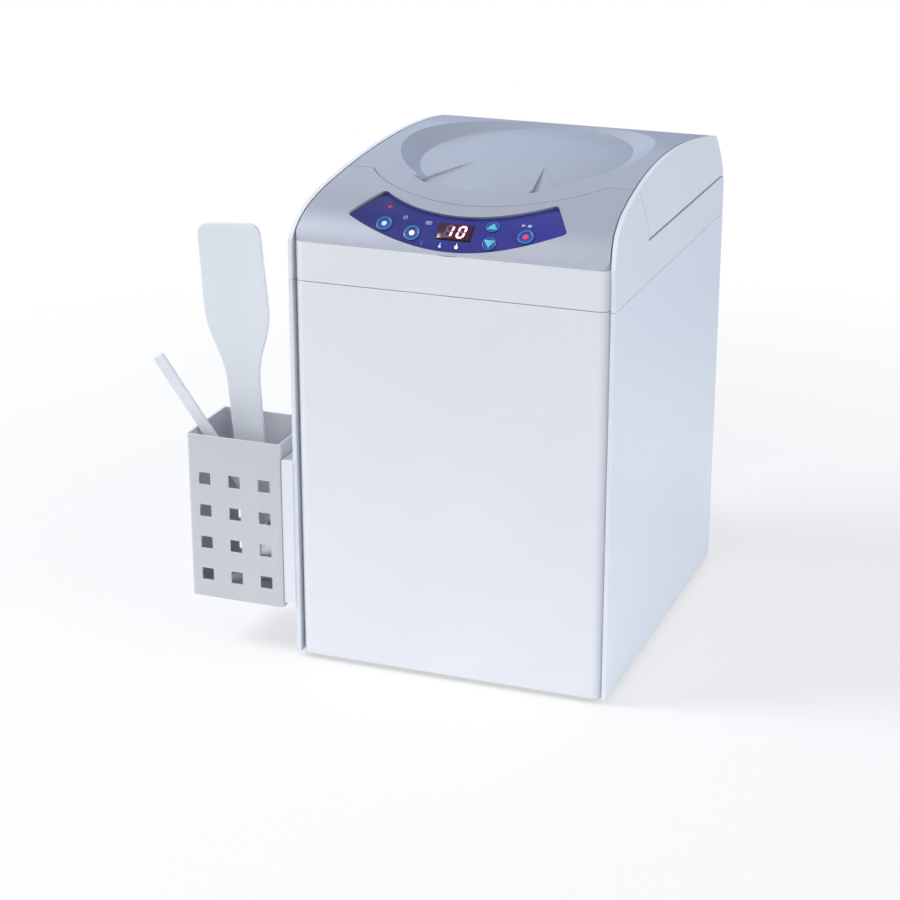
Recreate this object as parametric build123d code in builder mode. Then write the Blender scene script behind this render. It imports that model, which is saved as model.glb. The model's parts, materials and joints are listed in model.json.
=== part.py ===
from build123d import *
import math
import os

# Dental impression mixer: a bench-top machine that spins a bowl of impression
# powder and water in a closed chamber. Millimetres, +Z up, the front faces -Y.
# The origin is on the table, under the middle of the housing's footprint.

# ---------------------------------------------------------------- housing
WIDTH = 250.0              # outside width of the housing
DEPTH = 304.0              # outside depth of the housing
FOOT_GAP = 4.0             # height of the housing's lower edge over the table
SEAM_Z = 304.0             # seam between the lower housing and the top
SEAM_GAP = 0.6             # width of that seam
EDGE_Z = 334.0             # front edge, where the grey top meets the white band
LID_GAP_Z = 335.0          # underside of the lid's gap, and the deck's top
LID_GAP = 2.0              # height of the gap under the lid
CORNER_R = 8.0             # rounded upright edges of the front, between the sides
SIDE_R = 1.0               # upright edges of the flat sides
WRAP = 10.0                # how far the front turns back between the sides
PANEL_GAP = 2.0            # depth of the groove under the grey top's edge
SIDE_GAP = 1.2             # width of the grooves between the sides and the front
WALL = 3.0                 # moulded walls
SKIN = 2.5                 # the grey top skin
TUMBLE_Z = 322.0           # height at which the sides begin to lean inwards
TUMBLE_R = 135.0           # radius of that lean
MATE = 0.3                 # clearance between a panel and what it sits in

# The arch of the top, seen from the side: three tangent arcs from the front edge.
ARCH_START_ANGLE = 68.0    # slope at the front edge
KNEE_R, KNEE_TURN = 42.0, 44.0
SHOULDER_R, SHOULDER_TURN = 130.0, 12.5
CROWN_R = 663.0

HALF_W = WIDTH / 2
FRONT_Y = -DEPTH / 2
REAR_Y = DEPTH / 2
TOP_REACH = 400.0          # a height above everything
CUT_OVER = 4.0             # how far a cutting shape reaches past what it cuts

# ---------------------------------------------------------------- lid
LID_SIDE_Y = FRONT_Y + 86.0   # front edge of the lid at both sides
LID_ARC_R = 110.5             # rounded front of the lid's well
LID_SEAM = 0.8                # gap between the lid and the fixed cover
LID_WALL = 3.5                # walls under the lid's skin
DISH_Y = 25.0                 # middle of the oval dish
DISH_FLOOR_A, DISH_FLOOR_B = 73.0, 114.0
DISH_RIM_A, DISH_RIM_B = 96.0, 148.0
DISH_DOME_Z = 372.0           # top of the dish's shallow dome
DISH_DOME_R = 1100.0
DISH_EDGE_Z = 366.5           # just under the edge of the dome
DISH_RIM_Z = 378.5            # height at which the dish has its rim size
# the finger grip: a rounded tongue from the lid's front to the dome, with a pocket at each side
GRIP_FRONT_Y, GRIP_REAR_Y = -96.0, 4.0
GRIP_FRONT_HALF, GRIP_REAR_HALF = 39.0, 26.0
GRIP_FRONT_Z, GRIP_REAR_Z = 366.9, 372.1
GRIP_CROWN_R = 170.0
POCKET_FRONT_Y, POCKET_REAR_Y = -88.0, -10.0
POCKET_OUT_X, POCKET_OUT_Y = 57.0, -74.0
POCKET_FRONT_Z, POCKET_REAR_Z = 362.6, 371.4
POCKET_WALL, POCKET_CORNER_R = 2.0, 1.5

# ---------------------------------------------------------------- chamber
CHAMBER_Y = -5.0           # axis of the rotor, from the middle of the housing
CHAMBER_R = 100.0          # inside radius
CHAMBER_FLOOR_Z = 150.0    # top of the chamber's floor
TUB_LEDGE = 4.0            # inward step of the tub under the friction track
TUB_LIP_R = 107.0          # outer radius of the tub's lip on the deck
TUB_LIP = 1.5              # thickness of that lip
SEAL_W, SEAL_H = 3.5, 2.2   # the rubber ring on the tub's lip

# ---------------------------------------------------------------- bowl
BOWL_TILT = 35.0           # lean of the bowl towards the rotor's axis
BOWL_OFFSET = 50.0         # bowl's foot, from the rotor's axis
BOWL_FOOT_Z = 210.0        # height of the bowl's foot
BOWL_R = 46.5              # body radius at the mouth
BOWL_FOOT_R = BOWL_R - 2.0 # body radius at the foot
BOWL_H = 82.0              # body height without the pegs
BOWL_WALL = 2.5
BOWL_PEGS = 8
PEG_R, PEG_H = 3.6, 7.0
PEG_CIRCLE_R = BOWL_FOOT_R - 8.5
BOWL_LID_R = BOWL_R + 7.5
BOWL_LID_H = 20.0
BOWL_LID_FIT = 1.2         # gap round the mouth, inside the bowl's lid
BOWL_LID_TOP = 4.0         # thickness of the bowl lid's top

CARRIER_R = BOWL_FOOT_R + 7.0
CARRIER_FIT = 0.4          # clearance between the bowl and its carrier
CARRIER_DEPTH = 40.0
CARRIER_FLOOR = 9.0
SPINDLE_R = 6.0
RUN_FIT = 0.05             # running clearance of shafts and pins
TYRE_R, TYRE_W = 24.0, 10.0
TYRE_BACK = 29.0           # middle of the tyre, below the carrier's underside
TRACK_FIT = 0.3            # gap between the drive tyre and its track

# ---------------------------------------------------------------- drive
SHAFT_R = 6.0
HUB_R, HUB_Z0, HUB_Z1 = 16.0, 152.5, 172.0
MOTOR_R, MOTOR_Z0, MOTOR_Z1 = 58.0, 24.0, 104.0
MOTOR_PLATE_Z, MOTOR_PLATE_T = 104.0, 5.0
COUNTER_R0, COUNTER_R1, COUNTER_HALF = 52.0, 90.0, 38.0
ARM_Z0, ARM_Z1, ARM_HALF = 156.0, 166.0, 16.0
COUNTER_Z1, COUNTER_CORNER_R = 194.0, 3.0

# ---------------------------------------------------------------- controls
RECESS = 3.0               # depth of the control recess under the grey skin
OVERLAY_T = 0.7
SMILE_LOW_R, SMILE_LOW_W = 163.7, 2.5      # lower arc and its lowest point
SMILE_TOP_R, SMILE_TOP_W = 105.8, 33.4     # upper arc and its lowest point
SMILE_LOW_HALF, SMILE_TOP_HALF = 84.0, 66.5
SMILE_CORNER_R, SMILE_DEEP, SMILE_LONG = 3.0, 40.0, 90.0   # its prism, and how far it starts below
KEY_R = 6.0
KEY_FIT = 0.3
KEY_PROUD = 0.4
KEY_TRAVEL = 0.5
ARROW_KEY_R = 5.0
# each key: distance right of the middle, and up the slope from the front edge
KEY_PLACES = {
    "select_key": (-54.0, 21.0, KEY_R),
    "menu_key": (-31.0, 15.2, KEY_R),
    "up_key": (27.5, 27.0, ARROW_KEY_R),
    "down_key": (28.5, 12.6, ARROW_KEY_R),
    "start_stop_key": (54.0, 20.7, KEY_R),
}
DISPLAY_X, DISPLAY_W = 1.0, 19.5
DISPLAY_SIZE = (26.0, 14.0)
LED_X, LED_W, LED_R = -56.0, 38.0, 1.6

BOARD_Y, BOARD_Z = FRONT_Y + 9.0, 318.0    # front face and middle of the circuit board
BOARD_W, BOARD_H, BOARD_T = 160.0, 22.0, 1.6
BOARD_BOSS_R, BOARD_BOSS_X, BOARD_BOSS_Z = 2.5, 6.0, 4.0   # bosses, in from the board's edges

# ---------------------------------------------------------------- rear
INLET_X, INLET_Z = 70.0, 60.0
SWITCH_X, SWITCH_Z = 25.0, 60.0
VENT_ROWS, VENT_PITCH, VENT_LONG, VENT_HIGH = 9, 12.0, 120.0, 4.0
HINGE_X, HINGE_LONG, HINGE_LEAF_H, LEAF_T = 75.0, 40.0, 20.0, 1.5
KNUCKLE_R, HINGE_PIN_R = 3.6, 1.8
HINGE_Y = REAR_Y + KNUCKLE_R + 0.5
HINGE_Z = LID_GAP_Z + LID_GAP / 2

# ---------------------------------------------------------------- tool holder
BRACKET_T = 10.0
HOLDER_W, HOLDER_D, HOLDER_H = 78.0, 68.0, 134.0
HOLDER_Z = 40.0
HOLDER_T = 1.6
HOLDER_X1 = -HALF_W - BRACKET_T
HOLDER_X0 = HOLDER_X1 - HOLDER_W
HOLDER_Y0 = FRONT_Y - 2.0
HOLE, HOLE_PITCH_X, HOLE_PITCH_Y, HOLE_PITCH_Z = 9.8, 25.0, 21.0, 26.5
HOLE_COLUMNS, HOLE_ROWS = 3, 4
HOLE_LOW_Z = HOLDER_Z + 19.0


def arch_arcs():
    """Centres of the arch's three arcs, and the slopes where they begin and end."""
    a0 = math.radians(ARCH_START_ANGLE)
    a1 = a0 - math.radians(KNEE_TURN)
    a2 = a1 - math.radians(SHOULDER_TURN)
    knee = (FRONT_Y + KNEE_R * math.sin(a0), EDGE_Z - KNEE_R * math.cos(a0))
    bend = KNEE_R - SHOULDER_R
    shoulder = (knee[0] - bend * math.sin(a1), knee[1] + bend * math.cos(a1))
    bend = SHOULDER_R - CROWN_R
    crown = (shoulder[0] - bend * math.sin(a2), shoulder[1] + bend * math.cos(a2))
    a3 = -math.asin((REAR_Y - crown[0]) / CROWN_R)
    return (knee, shoulder, crown), (a0, a1, a2, a3)


def arch_points(drop):
    """Start, middles and ends of the arch's arcs, each radius less by drop."""
    (knee, shoulder, crown), (a0, a1, a2, a3) = arch_arcs()

    def spot(centre, radius, angle):
        return (centre[0] - (radius - drop) * math.sin(angle),
                centre[1] + (radius - drop) * math.cos(angle))

    start = spot(knee, KNEE_R, a0)
    mids = [spot(knee, KNEE_R, (a0 + a1) / 2), spot(shoulder, SHOULDER_R, (a1 + a2) / 2),
            spot(crown, CROWN_R, (a2 + a3) / 2)]
    ends = [spot(knee, KNEE_R, a1), spot(shoulder, SHOULDER_R, a2), spot(crown, CROWN_R, a3)]
    return start, mids, ends, (a0, a3)


def arch_profile(drop, z_low):
    """The space under the arch, seen from the side, as lines and arcs."""
    start, mids, ends, (a0, a3) = arch_points(drop)
    reach = 20.0
    front = (start[0] - reach, start[1] - reach * math.tan(a0))
    rear = (ends[2][0] + reach, ends[2][1] + reach * math.tan(a3))
    Polyline((front[0], z_low - reach * 3), front, start)
    ThreePointArc(start, mids[0], ends[0])
    ThreePointArc(ends[0], mids[1], ends[1])
    ThreePointArc(ends[1], mids[2], ends[2])
    Polyline(ends[2], rear, (rear[0], z_low - reach * 3), (front[0], z_low - reach * 3))


def plan_outline(inset, side_inset=None, corner=SIDE_R):
    """The housing's footprint, with rounded upright corners at the front."""
    half = HALF_W - (inset if side_inset is None else side_inset)
    front, rear = FRONT_Y + inset, REAR_Y - inset
    FilletPolyline((-half, rear), (-half, front), (half, front), (half, rear),
                   radius=[SIDE_R, corner, corner, SIDE_R], close=True)


def under_arch(drop, z_low=SEAM_Z):
    """Everything under the arch, wider than the housing."""
    with BuildPart() as space:
        with BuildSketch(Plane.YZ.offset(-WIDTH)):
            with BuildLine():
                arch_profile(drop, z_low)
            make_face()
        extrude(amount=2 * WIDTH)
    return space.part


def between_sides(inset, z_low):
    """The space between the leaning sides, longer than the housing."""
    lean = TUMBLE_R - inset
    lean_x = HALF_W - TUMBLE_R
    top_z = 395.0
    mid_z = (TUMBLE_Z + top_z) / 2

    def side_x(z):
        return lean_x + math.sqrt(lean ** 2 - (z - TUMBLE_Z) ** 2)

    with BuildPart() as space:
        with BuildSketch(Plane.XZ.offset(-DEPTH)):
            with BuildLine():
                Polyline((-side_x(TUMBLE_Z), TUMBLE_Z), (-side_x(TUMBLE_Z), z_low),
                         (side_x(TUMBLE_Z), z_low), (side_x(TUMBLE_Z), TUMBLE_Z))
                ThreePointArc((side_x(TUMBLE_Z), TUMBLE_Z), (side_x(mid_z), mid_z),
                              (side_x(top_z), top_z))
                Line((side_x(top_z), top_z), (-side_x(top_z), top_z))
                ThreePointArc((-side_x(top_z), top_z), (-side_x(mid_z), mid_z),
                              (-side_x(TUMBLE_Z), TUMBLE_Z))
            make_face()
        extrude(amount=2 * DEPTH)
    return space.part


def top_form(drop, inset, z_low, side_inset=None, corner=SIDE_R):
    """The top's rounded block: the arch, the leaning sides and the footprint."""
    with BuildPart() as form:
        add(under_arch(drop, z_low))
        add(between_sides(inset if side_inset is None else side_inset, z_low),
            mode=Mode.INTERSECT)
        with BuildSketch(Plane.XY.offset(z_low)):
            with BuildLine():
                plan_outline(inset, side_inset, corner)
            make_face()
        extrude(amount=TOP_REACH - z_low, mode=Mode.INTERSECT)
    return form.part


def well_prism(grow, z_low, z_high=TOP_REACH):
    """The lid's outline in plan, straight at the sides with a round front."""
    with BuildPart() as prism:
        with BuildSketch(Plane.XY.offset(z_low)):
            with Locations((0, (LID_SIDE_Y - grow + DEPTH) / 2)):
                Rectangle(2 * WIDTH, DEPTH - LID_SIDE_Y + grow)
            with Locations((0, CHAMBER_Y)):
                Circle(LID_ARC_R + grow)
        extrude(amount=z_high - z_low)
    return prism.part


def slab(x0, x1, y0, y1, z0, z1):
    """A plain block between two corners, for cutting and for flat pieces."""
    with BuildPart() as block:
        with Locations(((x0 + x1) / 2, (y0 + y1) / 2, (z0 + z1) / 2)):
            Box(x1 - x0, y1 - y0, z1 - z0)
    return block.part


def save(piece, name):
    """Label a finished piece and write it under its own name."""
    piece.part.label = name
    export_step(piece.part, f"parts/{name}.step")


os.makedirs("parts", exist_ok=True)

CORE_Z = SEAM_Z + SEAM_GAP
LID_Z = LID_GAP_Z + LID_GAP
WRAP_Y = FRONT_Y + WRAP
CHEEK_DROP = SKIN + PANEL_GAP
FRAME_INSET = WALL + SKIN
FRONT_INSET = WALL + SIDE_GAP          # the front and the grey top, inside the sides

core_form = top_form(SKIN, SKIN, CORE_Z, FRONT_INSET, CORNER_R - SKIN)
cheek_form = top_form(CHEEK_DROP, 0, CORE_Z)
open_form = top_form(0, FRAME_INSET, CORE_Z - 1)
outer_form = top_form(0, 0, CORE_Z, FRONT_INSET, CORNER_R)
under_skin = under_arch(SKIN)

# ------------------------------------------------------------ control recess
# The recess is drawn on a plane at 45 degrees through the front edge, with
# x across and y up the slope, and runs square to that plane.
slope_plane = Plane(origin=(0, FRONT_Y, EDGE_Z), x_dir=(1, 0, 0), z_dir=(0, -1, 1))


def smile_prism(grow):
    """The curved control recess, cut square to the slope."""
    low_half, top_half = SMILE_LOW_HALF, SMILE_TOP_HALF
    low_w = SMILE_LOW_W + SMILE_LOW_R - math.sqrt(SMILE_LOW_R ** 2 - low_half ** 2)
    top_w = SMILE_TOP_W + SMILE_TOP_R - math.sqrt(SMILE_TOP_R ** 2 - top_half ** 2)
    with BuildPart() as prism:
        with BuildSketch(slope_plane.offset(-SMILE_DEEP)) as outline:
            with BuildLine():
                ThreePointArc((-low_half, low_w), (0, SMILE_LOW_W), (low_half, low_w))
                Line((low_half, low_w), (top_half, top_w))
                ThreePointArc((top_half, top_w), (0, SMILE_TOP_W), (-top_half, top_w))
                Line((-top_half, top_w), (-low_half, low_w))
            make_face()
            fillet(outline.vertices(), SMILE_CORNER_R)
            if grow:
                offset(amount=grow)
        extrude(amount=SMILE_LONG)
    return prism.part


def arch_layer(drop_out, drop_in):
    """A layer that follows the arch, between two depths under its surface."""
    with BuildPart() as layer:
        add(under_arch(drop_out))
        add(under_arch(drop_in), mode=Mode.SUBTRACT)
    return layer.part


def slope_spot(w, drop):
    """A place on the arch over w on the slope plane: (y, z) and its slope."""
    centres, slopes = arch_arcs()
    half = math.sqrt(0.5)
    for (cy, cz), radius, low in zip(centres, (KNEE_R, SHOULDER_R), slopes[1:3]):
        depth = radius - drop
        across = (FRONT_Y + w * half - cy) * half + (EDGE_Z + w * half - cz) * half
        angle = math.pi / 4 - math.asin(across / depth)
        if angle >= low:
            break
    return cy - depth * math.sin(angle), cz + depth * math.cos(angle), angle


def key_plane(x, w, drop=RECESS):
    """A plane on the recess floor, its normal pointing out of the cover."""
    y, z, angle = slope_spot(w, drop)
    return Plane(origin=(x, y, z), x_dir=(1, 0, 0), z_dir=(0, -math.sin(angle), math.cos(angle)))


with BuildPart() as recess_space:
    add(smile_prism(0))
    add(arch_layer(-CUT_OVER, RECESS), mode=Mode.INTERSECT)
with BuildPart() as recess_pan:
    add(smile_prism(SKIN))
    add(arch_layer(0, RECESS + SKIN), mode=Mode.INTERSECT)

# the grey top over the controls, with its recess
with BuildPart() as corner_walls:
    add(outer_form)
    add(core_form, mode=Mode.SUBTRACT)
    add(slab(-WIDTH, WIDTH, WRAP_Y, DEPTH, 0, TOP_REACH), mode=Mode.SUBTRACT)
with BuildPart() as cover_skin:
    add(outer_form)
    add(under_skin, mode=Mode.SUBTRACT)
with BuildPart() as control_cover:
    add(corner_walls.part)
    add(cover_skin.part)
    add(recess_pan.part)
    add(recess_space.part, mode=Mode.SUBTRACT)
    for x, w, radius in KEY_PLACES.values():
        with BuildSketch(key_plane(x, w)):
            Circle(radius + KEY_FIT)
        extrude(amount=-KEY_TRAVEL - KEY_FIT, mode=Mode.SUBTRACT)
    add(well_prism(0, 0), mode=Mode.SUBTRACT)
    add(slab(-WIDTH, WIDTH, -DEPTH, DEPTH, 0, EDGE_Z), mode=Mode.SUBTRACT)

# the white frame of the top: front band, cheeks, rear wall, deck and lid well
with BuildPart() as frame_cavity:
    add(open_form)
    add(well_prism(WALL, LID_GAP_Z - WALL), mode=Mode.SUBTRACT)
with BuildPart() as front_band:
    with BuildSketch(Plane.XY.offset(CORE_Z)):
        with BuildLine():
            plan_outline(0, FRONT_INSET, CORNER_R)
        make_face()
    extrude(amount=EDGE_Z - CORE_Z)
    add(slab(-WIDTH, WIDTH, WRAP_Y, DEPTH, 0, TOP_REACH), mode=Mode.SUBTRACT)
with BuildPart() as side_rims:
    add(top_form(0, 0, CORE_Z))
    add(between_sides(WALL, CORE_Z - 1), mode=Mode.SUBTRACT)
with BuildPart() as cheeks:
    add(cheek_form)
    add(slab(-WIDTH, WIDTH, -DEPTH, WRAP_Y, 0, TOP_REACH), mode=Mode.SUBTRACT)
    add(side_rims.part)
with BuildPart() as frame_shell:
    add(core_form)
    add(cheeks.part)
    add(front_band.part)
    add(frame_cavity.part, mode=Mode.SUBTRACT)
    add(well_prism(0, LID_GAP_Z), mode=Mode.SUBTRACT)
    add(smile_prism(SKIN + MATE), mode=Mode.SUBTRACT)

# the tub's hole, and the slot for the lid's lock tongue
LOCK_X, LOCK_Y, LOCK_Z = HALF_W - 15.0, LID_SIDE_Y + 8.0, 322.0
TONGUE_W, TONGUE_T, TONGUE_FIT = 14.0, 3.0, 1.5
TONGUE_END, TONGUE_HOLE_R = 8.0, 4.6           # below the hole's middle, and the hole
TONGUE_PLATE, TONGUE_PLATE_T = 10.0, 1.5       # the plate that screws to the liner
TUB_R = CHAMBER_R + WALL
with BuildPart() as upper_frame:
    add(frame_shell.part)
    with Locations((0, CHAMBER_Y, LID_GAP_Z)):
        Cylinder(TUB_R + MATE, 4 * WALL, mode=Mode.SUBTRACT)
    with Locations((LOCK_X, LOCK_Y - TONGUE_FIT / 2, LID_GAP_Z)):
        Box(TONGUE_W + 2 * TONGUE_FIT, TONGUE_T + 2 * TONGUE_FIT, 4 * WALL, mode=Mode.SUBTRACT)
    with BuildSketch(Plane.XZ.offset(-BOARD_Y)):
        with Locations((0, BOARD_Z)):
            with GridLocations(BOARD_W - 2 * BOARD_BOSS_X, BOARD_H - 2 * BOARD_BOSS_Z, 2, 2):
                Circle(BOARD_BOSS_R)
    extrude(amount=BOARD_Y - FRONT_Y - WALL)

save(control_cover, "control_cover")
save(upper_frame, "upper_frame")


# ------------------------------------------------------------ controls
with BuildPart() as keypad_overlay:
    add(smile_prism(-MATE))
    add(arch_layer(RECESS - OVERLAY_T, RECESS), mode=Mode.INTERSECT)
    for x, w, radius in KEY_PLACES.values():
        with BuildSketch(key_plane(x, w)):
            Circle(radius + KEY_FIT)
        extrude(amount=RECESS, both=True, mode=Mode.SUBTRACT)
    with BuildSketch(key_plane(DISPLAY_X, DISPLAY_W)):
        Rectangle(DISPLAY_SIZE[0] + 2 * KEY_FIT, DISPLAY_SIZE[1] + 2 * KEY_FIT)
    extrude(amount=RECESS, both=True, mode=Mode.SUBTRACT)
    with BuildSketch(key_plane(LED_X, LED_W)):
        Circle(LED_R + KEY_FIT)
    extrude(amount=RECESS, both=True, mode=Mode.SUBTRACT)
save(keypad_overlay, "keypad_overlay")

key_layer = arch_layer(RECESS - OVERLAY_T - KEY_PROUD, RECESS)
for key_name, (x, w, radius) in KEY_PLACES.items():
    with BuildPart() as key:
        with BuildSketch(key_plane(x, w)):
            Circle(radius)
        extrude(amount=RECESS)
        add(key_layer, mode=Mode.INTERSECT)
    save(key, key_name)

with BuildPart() as display_window:
    with BuildSketch(key_plane(DISPLAY_X, DISPLAY_W)):
        Rectangle(*DISPLAY_SIZE)
    extrude(amount=RECESS, both=True)
    add(arch_layer(RECESS - OVERLAY_T, RECESS), mode=Mode.INTERSECT)
save(display_window, "display_window")

with BuildPart() as status_led:
    with BuildSketch(key_plane(LED_X, LED_W)):
        Circle(LED_R)
    extrude(amount=RECESS, both=True)
    add(key_layer, mode=Mode.INTERSECT)
save(status_led, "status_led")

# ------------------------------------------------------------ lid
lid_plan = well_prism(-LID_SEAM, CORE_Z)


def dish_cone(grow, z_low, z_high):
    """The oval dish's sloping wall between two heights, grown outwards."""
    rise = DISH_RIM_Z - DISH_EDGE_Z
    with BuildPart() as cone:
        for z in (z_low, z_high):
            share = (z - DISH_EDGE_Z) / rise
            with BuildSketch(Plane.XY.offset(z)):
                with Locations((0, DISH_Y)):
                    Ellipse(DISH_FLOOR_A + share * (DISH_RIM_A - DISH_FLOOR_A) + grow,
                            DISH_FLOOR_B + share * (DISH_RIM_B - DISH_FLOOR_B) + grow)
        loft(ruled=True)
    return cone.part


def dome_ball(shrink):
    """The ball whose top is the dish's shallow dome."""
    with BuildPart() as ball:
        with Locations((0, DISH_Y, DISH_DOME_Z - DISH_DOME_R)):
            Sphere(DISH_DOME_R - shrink)
    return ball.part


with BuildPart() as dish_air:
    add(dish_cone(0, DISH_EDGE_Z - SKIN, DISH_RIM_Z + CUT_OVER))
    add(dome_ball(0), mode=Mode.SUBTRACT)
with BuildPart() as dish_under:
    with BuildSketch(Plane.XY.offset(LID_Z)):
        with Locations((0, DISH_Y)):
            Ellipse(DISH_FLOOR_A, DISH_FLOOR_B)
    extrude(amount=TOP_REACH - LID_Z)
    add(dome_ball(SKIN), mode=Mode.INTERSECT)
with BuildPart() as dish_pan:
    add(dish_cone(SKIN, DISH_EDGE_Z - 2 * SKIN, DISH_RIM_Z + CUT_OVER))
    add(outer_form, mode=Mode.INTERSECT)
    add(dish_air.part, mode=Mode.SUBTRACT)
    add(dish_under.part, mode=Mode.SUBTRACT)



def grip_form(drop, z_low):
    """The tongue of the finger grip, its round back dropped by some depth."""
    rise = math.atan2(GRIP_REAR_Z - GRIP_FRONT_Z, GRIP_REAR_Y - GRIP_FRONT_Y)
    end_plane = Plane(origin=(0, GRIP_FRONT_Y, GRIP_FRONT_Z - drop), x_dir=(1, 0, 0),
                      z_dir=(0, -math.cos(rise), -math.sin(rise)))
    with BuildPart() as grip:
        with BuildSketch(end_plane):
            with Locations((0, -GRIP_CROWN_R)):
                Circle(GRIP_CROWN_R)
            with Locations((0, -GRIP_CROWN_R)):
                Rectangle(4 * GRIP_FRONT_HALF, 2 * GRIP_CROWN_R, mode=Mode.INTERSECT)
        extrude(amount=-(GRIP_REAR_Y - GRIP_FRONT_Y))
        with BuildSketch(Plane.XY.offset(z_low)):
            Polygon((-GRIP_FRONT_HALF, GRIP_FRONT_Y), (GRIP_FRONT_HALF, GRIP_FRONT_Y),
                    (GRIP_REAR_HALF, GRIP_REAR_Y), (-GRIP_REAR_HALF, GRIP_REAR_Y), align=None)
        extrude(amount=TOP_REACH - z_low, mode=Mode.INTERSECT)
    return grip.part


def grip_pockets(grow):
    """The two pockets beside the tongue, deepest at the front, grown outwards."""
    with BuildPart() as pockets:
        for side in (-1, 1):
            with BuildSketch(Plane.XY.offset(POCKET_FRONT_Z - SKIN)):
                with BuildLine():
                    FilletPolyline((side * GRIP_FRONT_HALF, POCKET_FRONT_Y),
                                   (side * POCKET_OUT_X, POCKET_OUT_Y),
                                   (side * GRIP_REAR_HALF, POCKET_REAR_Y),
                                   radius=POCKET_CORNER_R, close=True)
                make_face()
                if grow:
                    offset(amount=grow)
            extrude(amount=TOP_REACH - POCKET_FRONT_Z)
        with BuildSketch(Plane.YZ.offset(-WIDTH)):
            Polygon((POCKET_FRONT_Y, POCKET_FRONT_Z - grow), (POCKET_REAR_Y, POCKET_REAR_Z - grow),
                    (DEPTH, TOP_REACH), (-DEPTH, TOP_REACH), (-DEPTH, POCKET_FRONT_Z - grow),
                    align=None)
        extrude(amount=2 * WIDTH, mode=Mode.INTERSECT)
    return pockets.part


with BuildPart() as grip_skin:
    add(grip_form(0, DISH_EDGE_Z - 2 * SKIN))
    add(grip_form(SKIN, DISH_EDGE_Z - 3 * SKIN), mode=Mode.SUBTRACT)
    add(outer_form, mode=Mode.INTERSECT)
with BuildPart() as pocket_pans:
    add(grip_pockets(POCKET_WALL))
    add(outer_form, mode=Mode.INTERSECT)

with BuildPart() as lid_skin:
    add(outer_form)
    add(under_skin, mode=Mode.SUBTRACT)
    add(lid_plan, mode=Mode.INTERSECT)
with BuildPart() as lid_shell:
    add(lid_skin.part)
    add(dish_pan.part)
    add(pocket_pans.part)
    add(dish_air.part, mode=Mode.SUBTRACT)
    add(grip_skin.part)
    add(grip_pockets(0), mode=Mode.SUBTRACT)
save(lid_shell, "lid_shell")

with BuildPart() as lid_hollow:
    add(open_form)
    add(well_prism(-LID_SEAM - LID_WALL, CORE_Z), mode=Mode.INTERSECT)
with BuildPart() as lid_frame:
    add(core_form)
    add(cheeks.part)
    add(lid_plan, mode=Mode.INTERSECT)
    add(lid_hollow.part, mode=Mode.SUBTRACT)
    add(slab(-WIDTH, WIDTH, -DEPTH, DEPTH, 0, LID_Z), mode=Mode.SUBTRACT)
    add(dish_cone(SKIN, DISH_EDGE_Z - 2 * SKIN, DISH_RIM_Z + CUT_OVER), mode=Mode.SUBTRACT)
save(lid_frame, "lid_frame")

# the liner closes the lid's underside, and rises over the rotor
LINER_Z, LINER_T = LID_Z + 2.0, 2.0
LINER_DOME_Z, LINER_DOME_R, LINER_MOUTH_R = 357.0, 92.0, 98.0
with BuildPart() as lid_liner:
    add(lid_hollow.part)
    add(slab(-WIDTH, WIDTH, -DEPTH, DEPTH, 0, LINER_Z), mode=Mode.SUBTRACT)
    add(slab(-WIDTH, WIDTH, -DEPTH, DEPTH, LINER_Z + LINER_T, TOP_REACH + CUT_OVER), mode=Mode.SUBTRACT)
    with BuildSketch(Plane.XZ.offset(-CHAMBER_Y)):
        Polygon((0, LINER_Z - CUT_OVER), (LINER_MOUTH_R + LINER_T, LINER_Z - CUT_OVER),
                (LINER_MOUTH_R + LINER_T, LINER_Z), (LINER_DOME_R + LINER_T, LINER_DOME_Z),
                (LINER_DOME_R, LINER_DOME_Z + LINER_T), (0, LINER_DOME_Z + LINER_T), align=None)
    revolve(axis=Axis((0, CHAMBER_Y, 0), (0, 0, 1)))
    with BuildSketch(Plane.XZ.offset(-CHAMBER_Y)):
        Polygon((0, LINER_Z - CUT_OVER), (LINER_MOUTH_R + 3 * LINER_T, LINER_Z - CUT_OVER),
                (LINER_MOUTH_R + 3 * LINER_T, LINER_Z), (LINER_MOUTH_R, LINER_Z),
                (LINER_DOME_R, LINER_DOME_Z), (0, LINER_DOME_Z), align=None)
    revolve(axis=Axis((0, CHAMBER_Y, 0), (0, 0, 1)), mode=Mode.SUBTRACT)
save(lid_liner, "lid_liner")

# the lock's tongue hangs under the liner
with BuildPart() as lock_tongue:
    with Locations((LOCK_X, LOCK_Y, (LINER_Z + LOCK_Z - TONGUE_END) / 2)):
        Box(TONGUE_W, TONGUE_T, LINER_Z - LOCK_Z + TONGUE_END)
    with Locations((LOCK_X, LOCK_Y + TONGUE_PLATE / 2, LINER_Z - TONGUE_PLATE_T / 2)):
        Box(TONGUE_W, TONGUE_PLATE + TONGUE_T, TONGUE_PLATE_T)
    with Locations(Location((LOCK_X, LOCK_Y, LOCK_Z), (90, 0, 0))):
        Cylinder(TONGUE_HOLE_R, 4 * TONGUE_T, mode=Mode.SUBTRACT)
save(lock_tongue, "lock_tongue")

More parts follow.
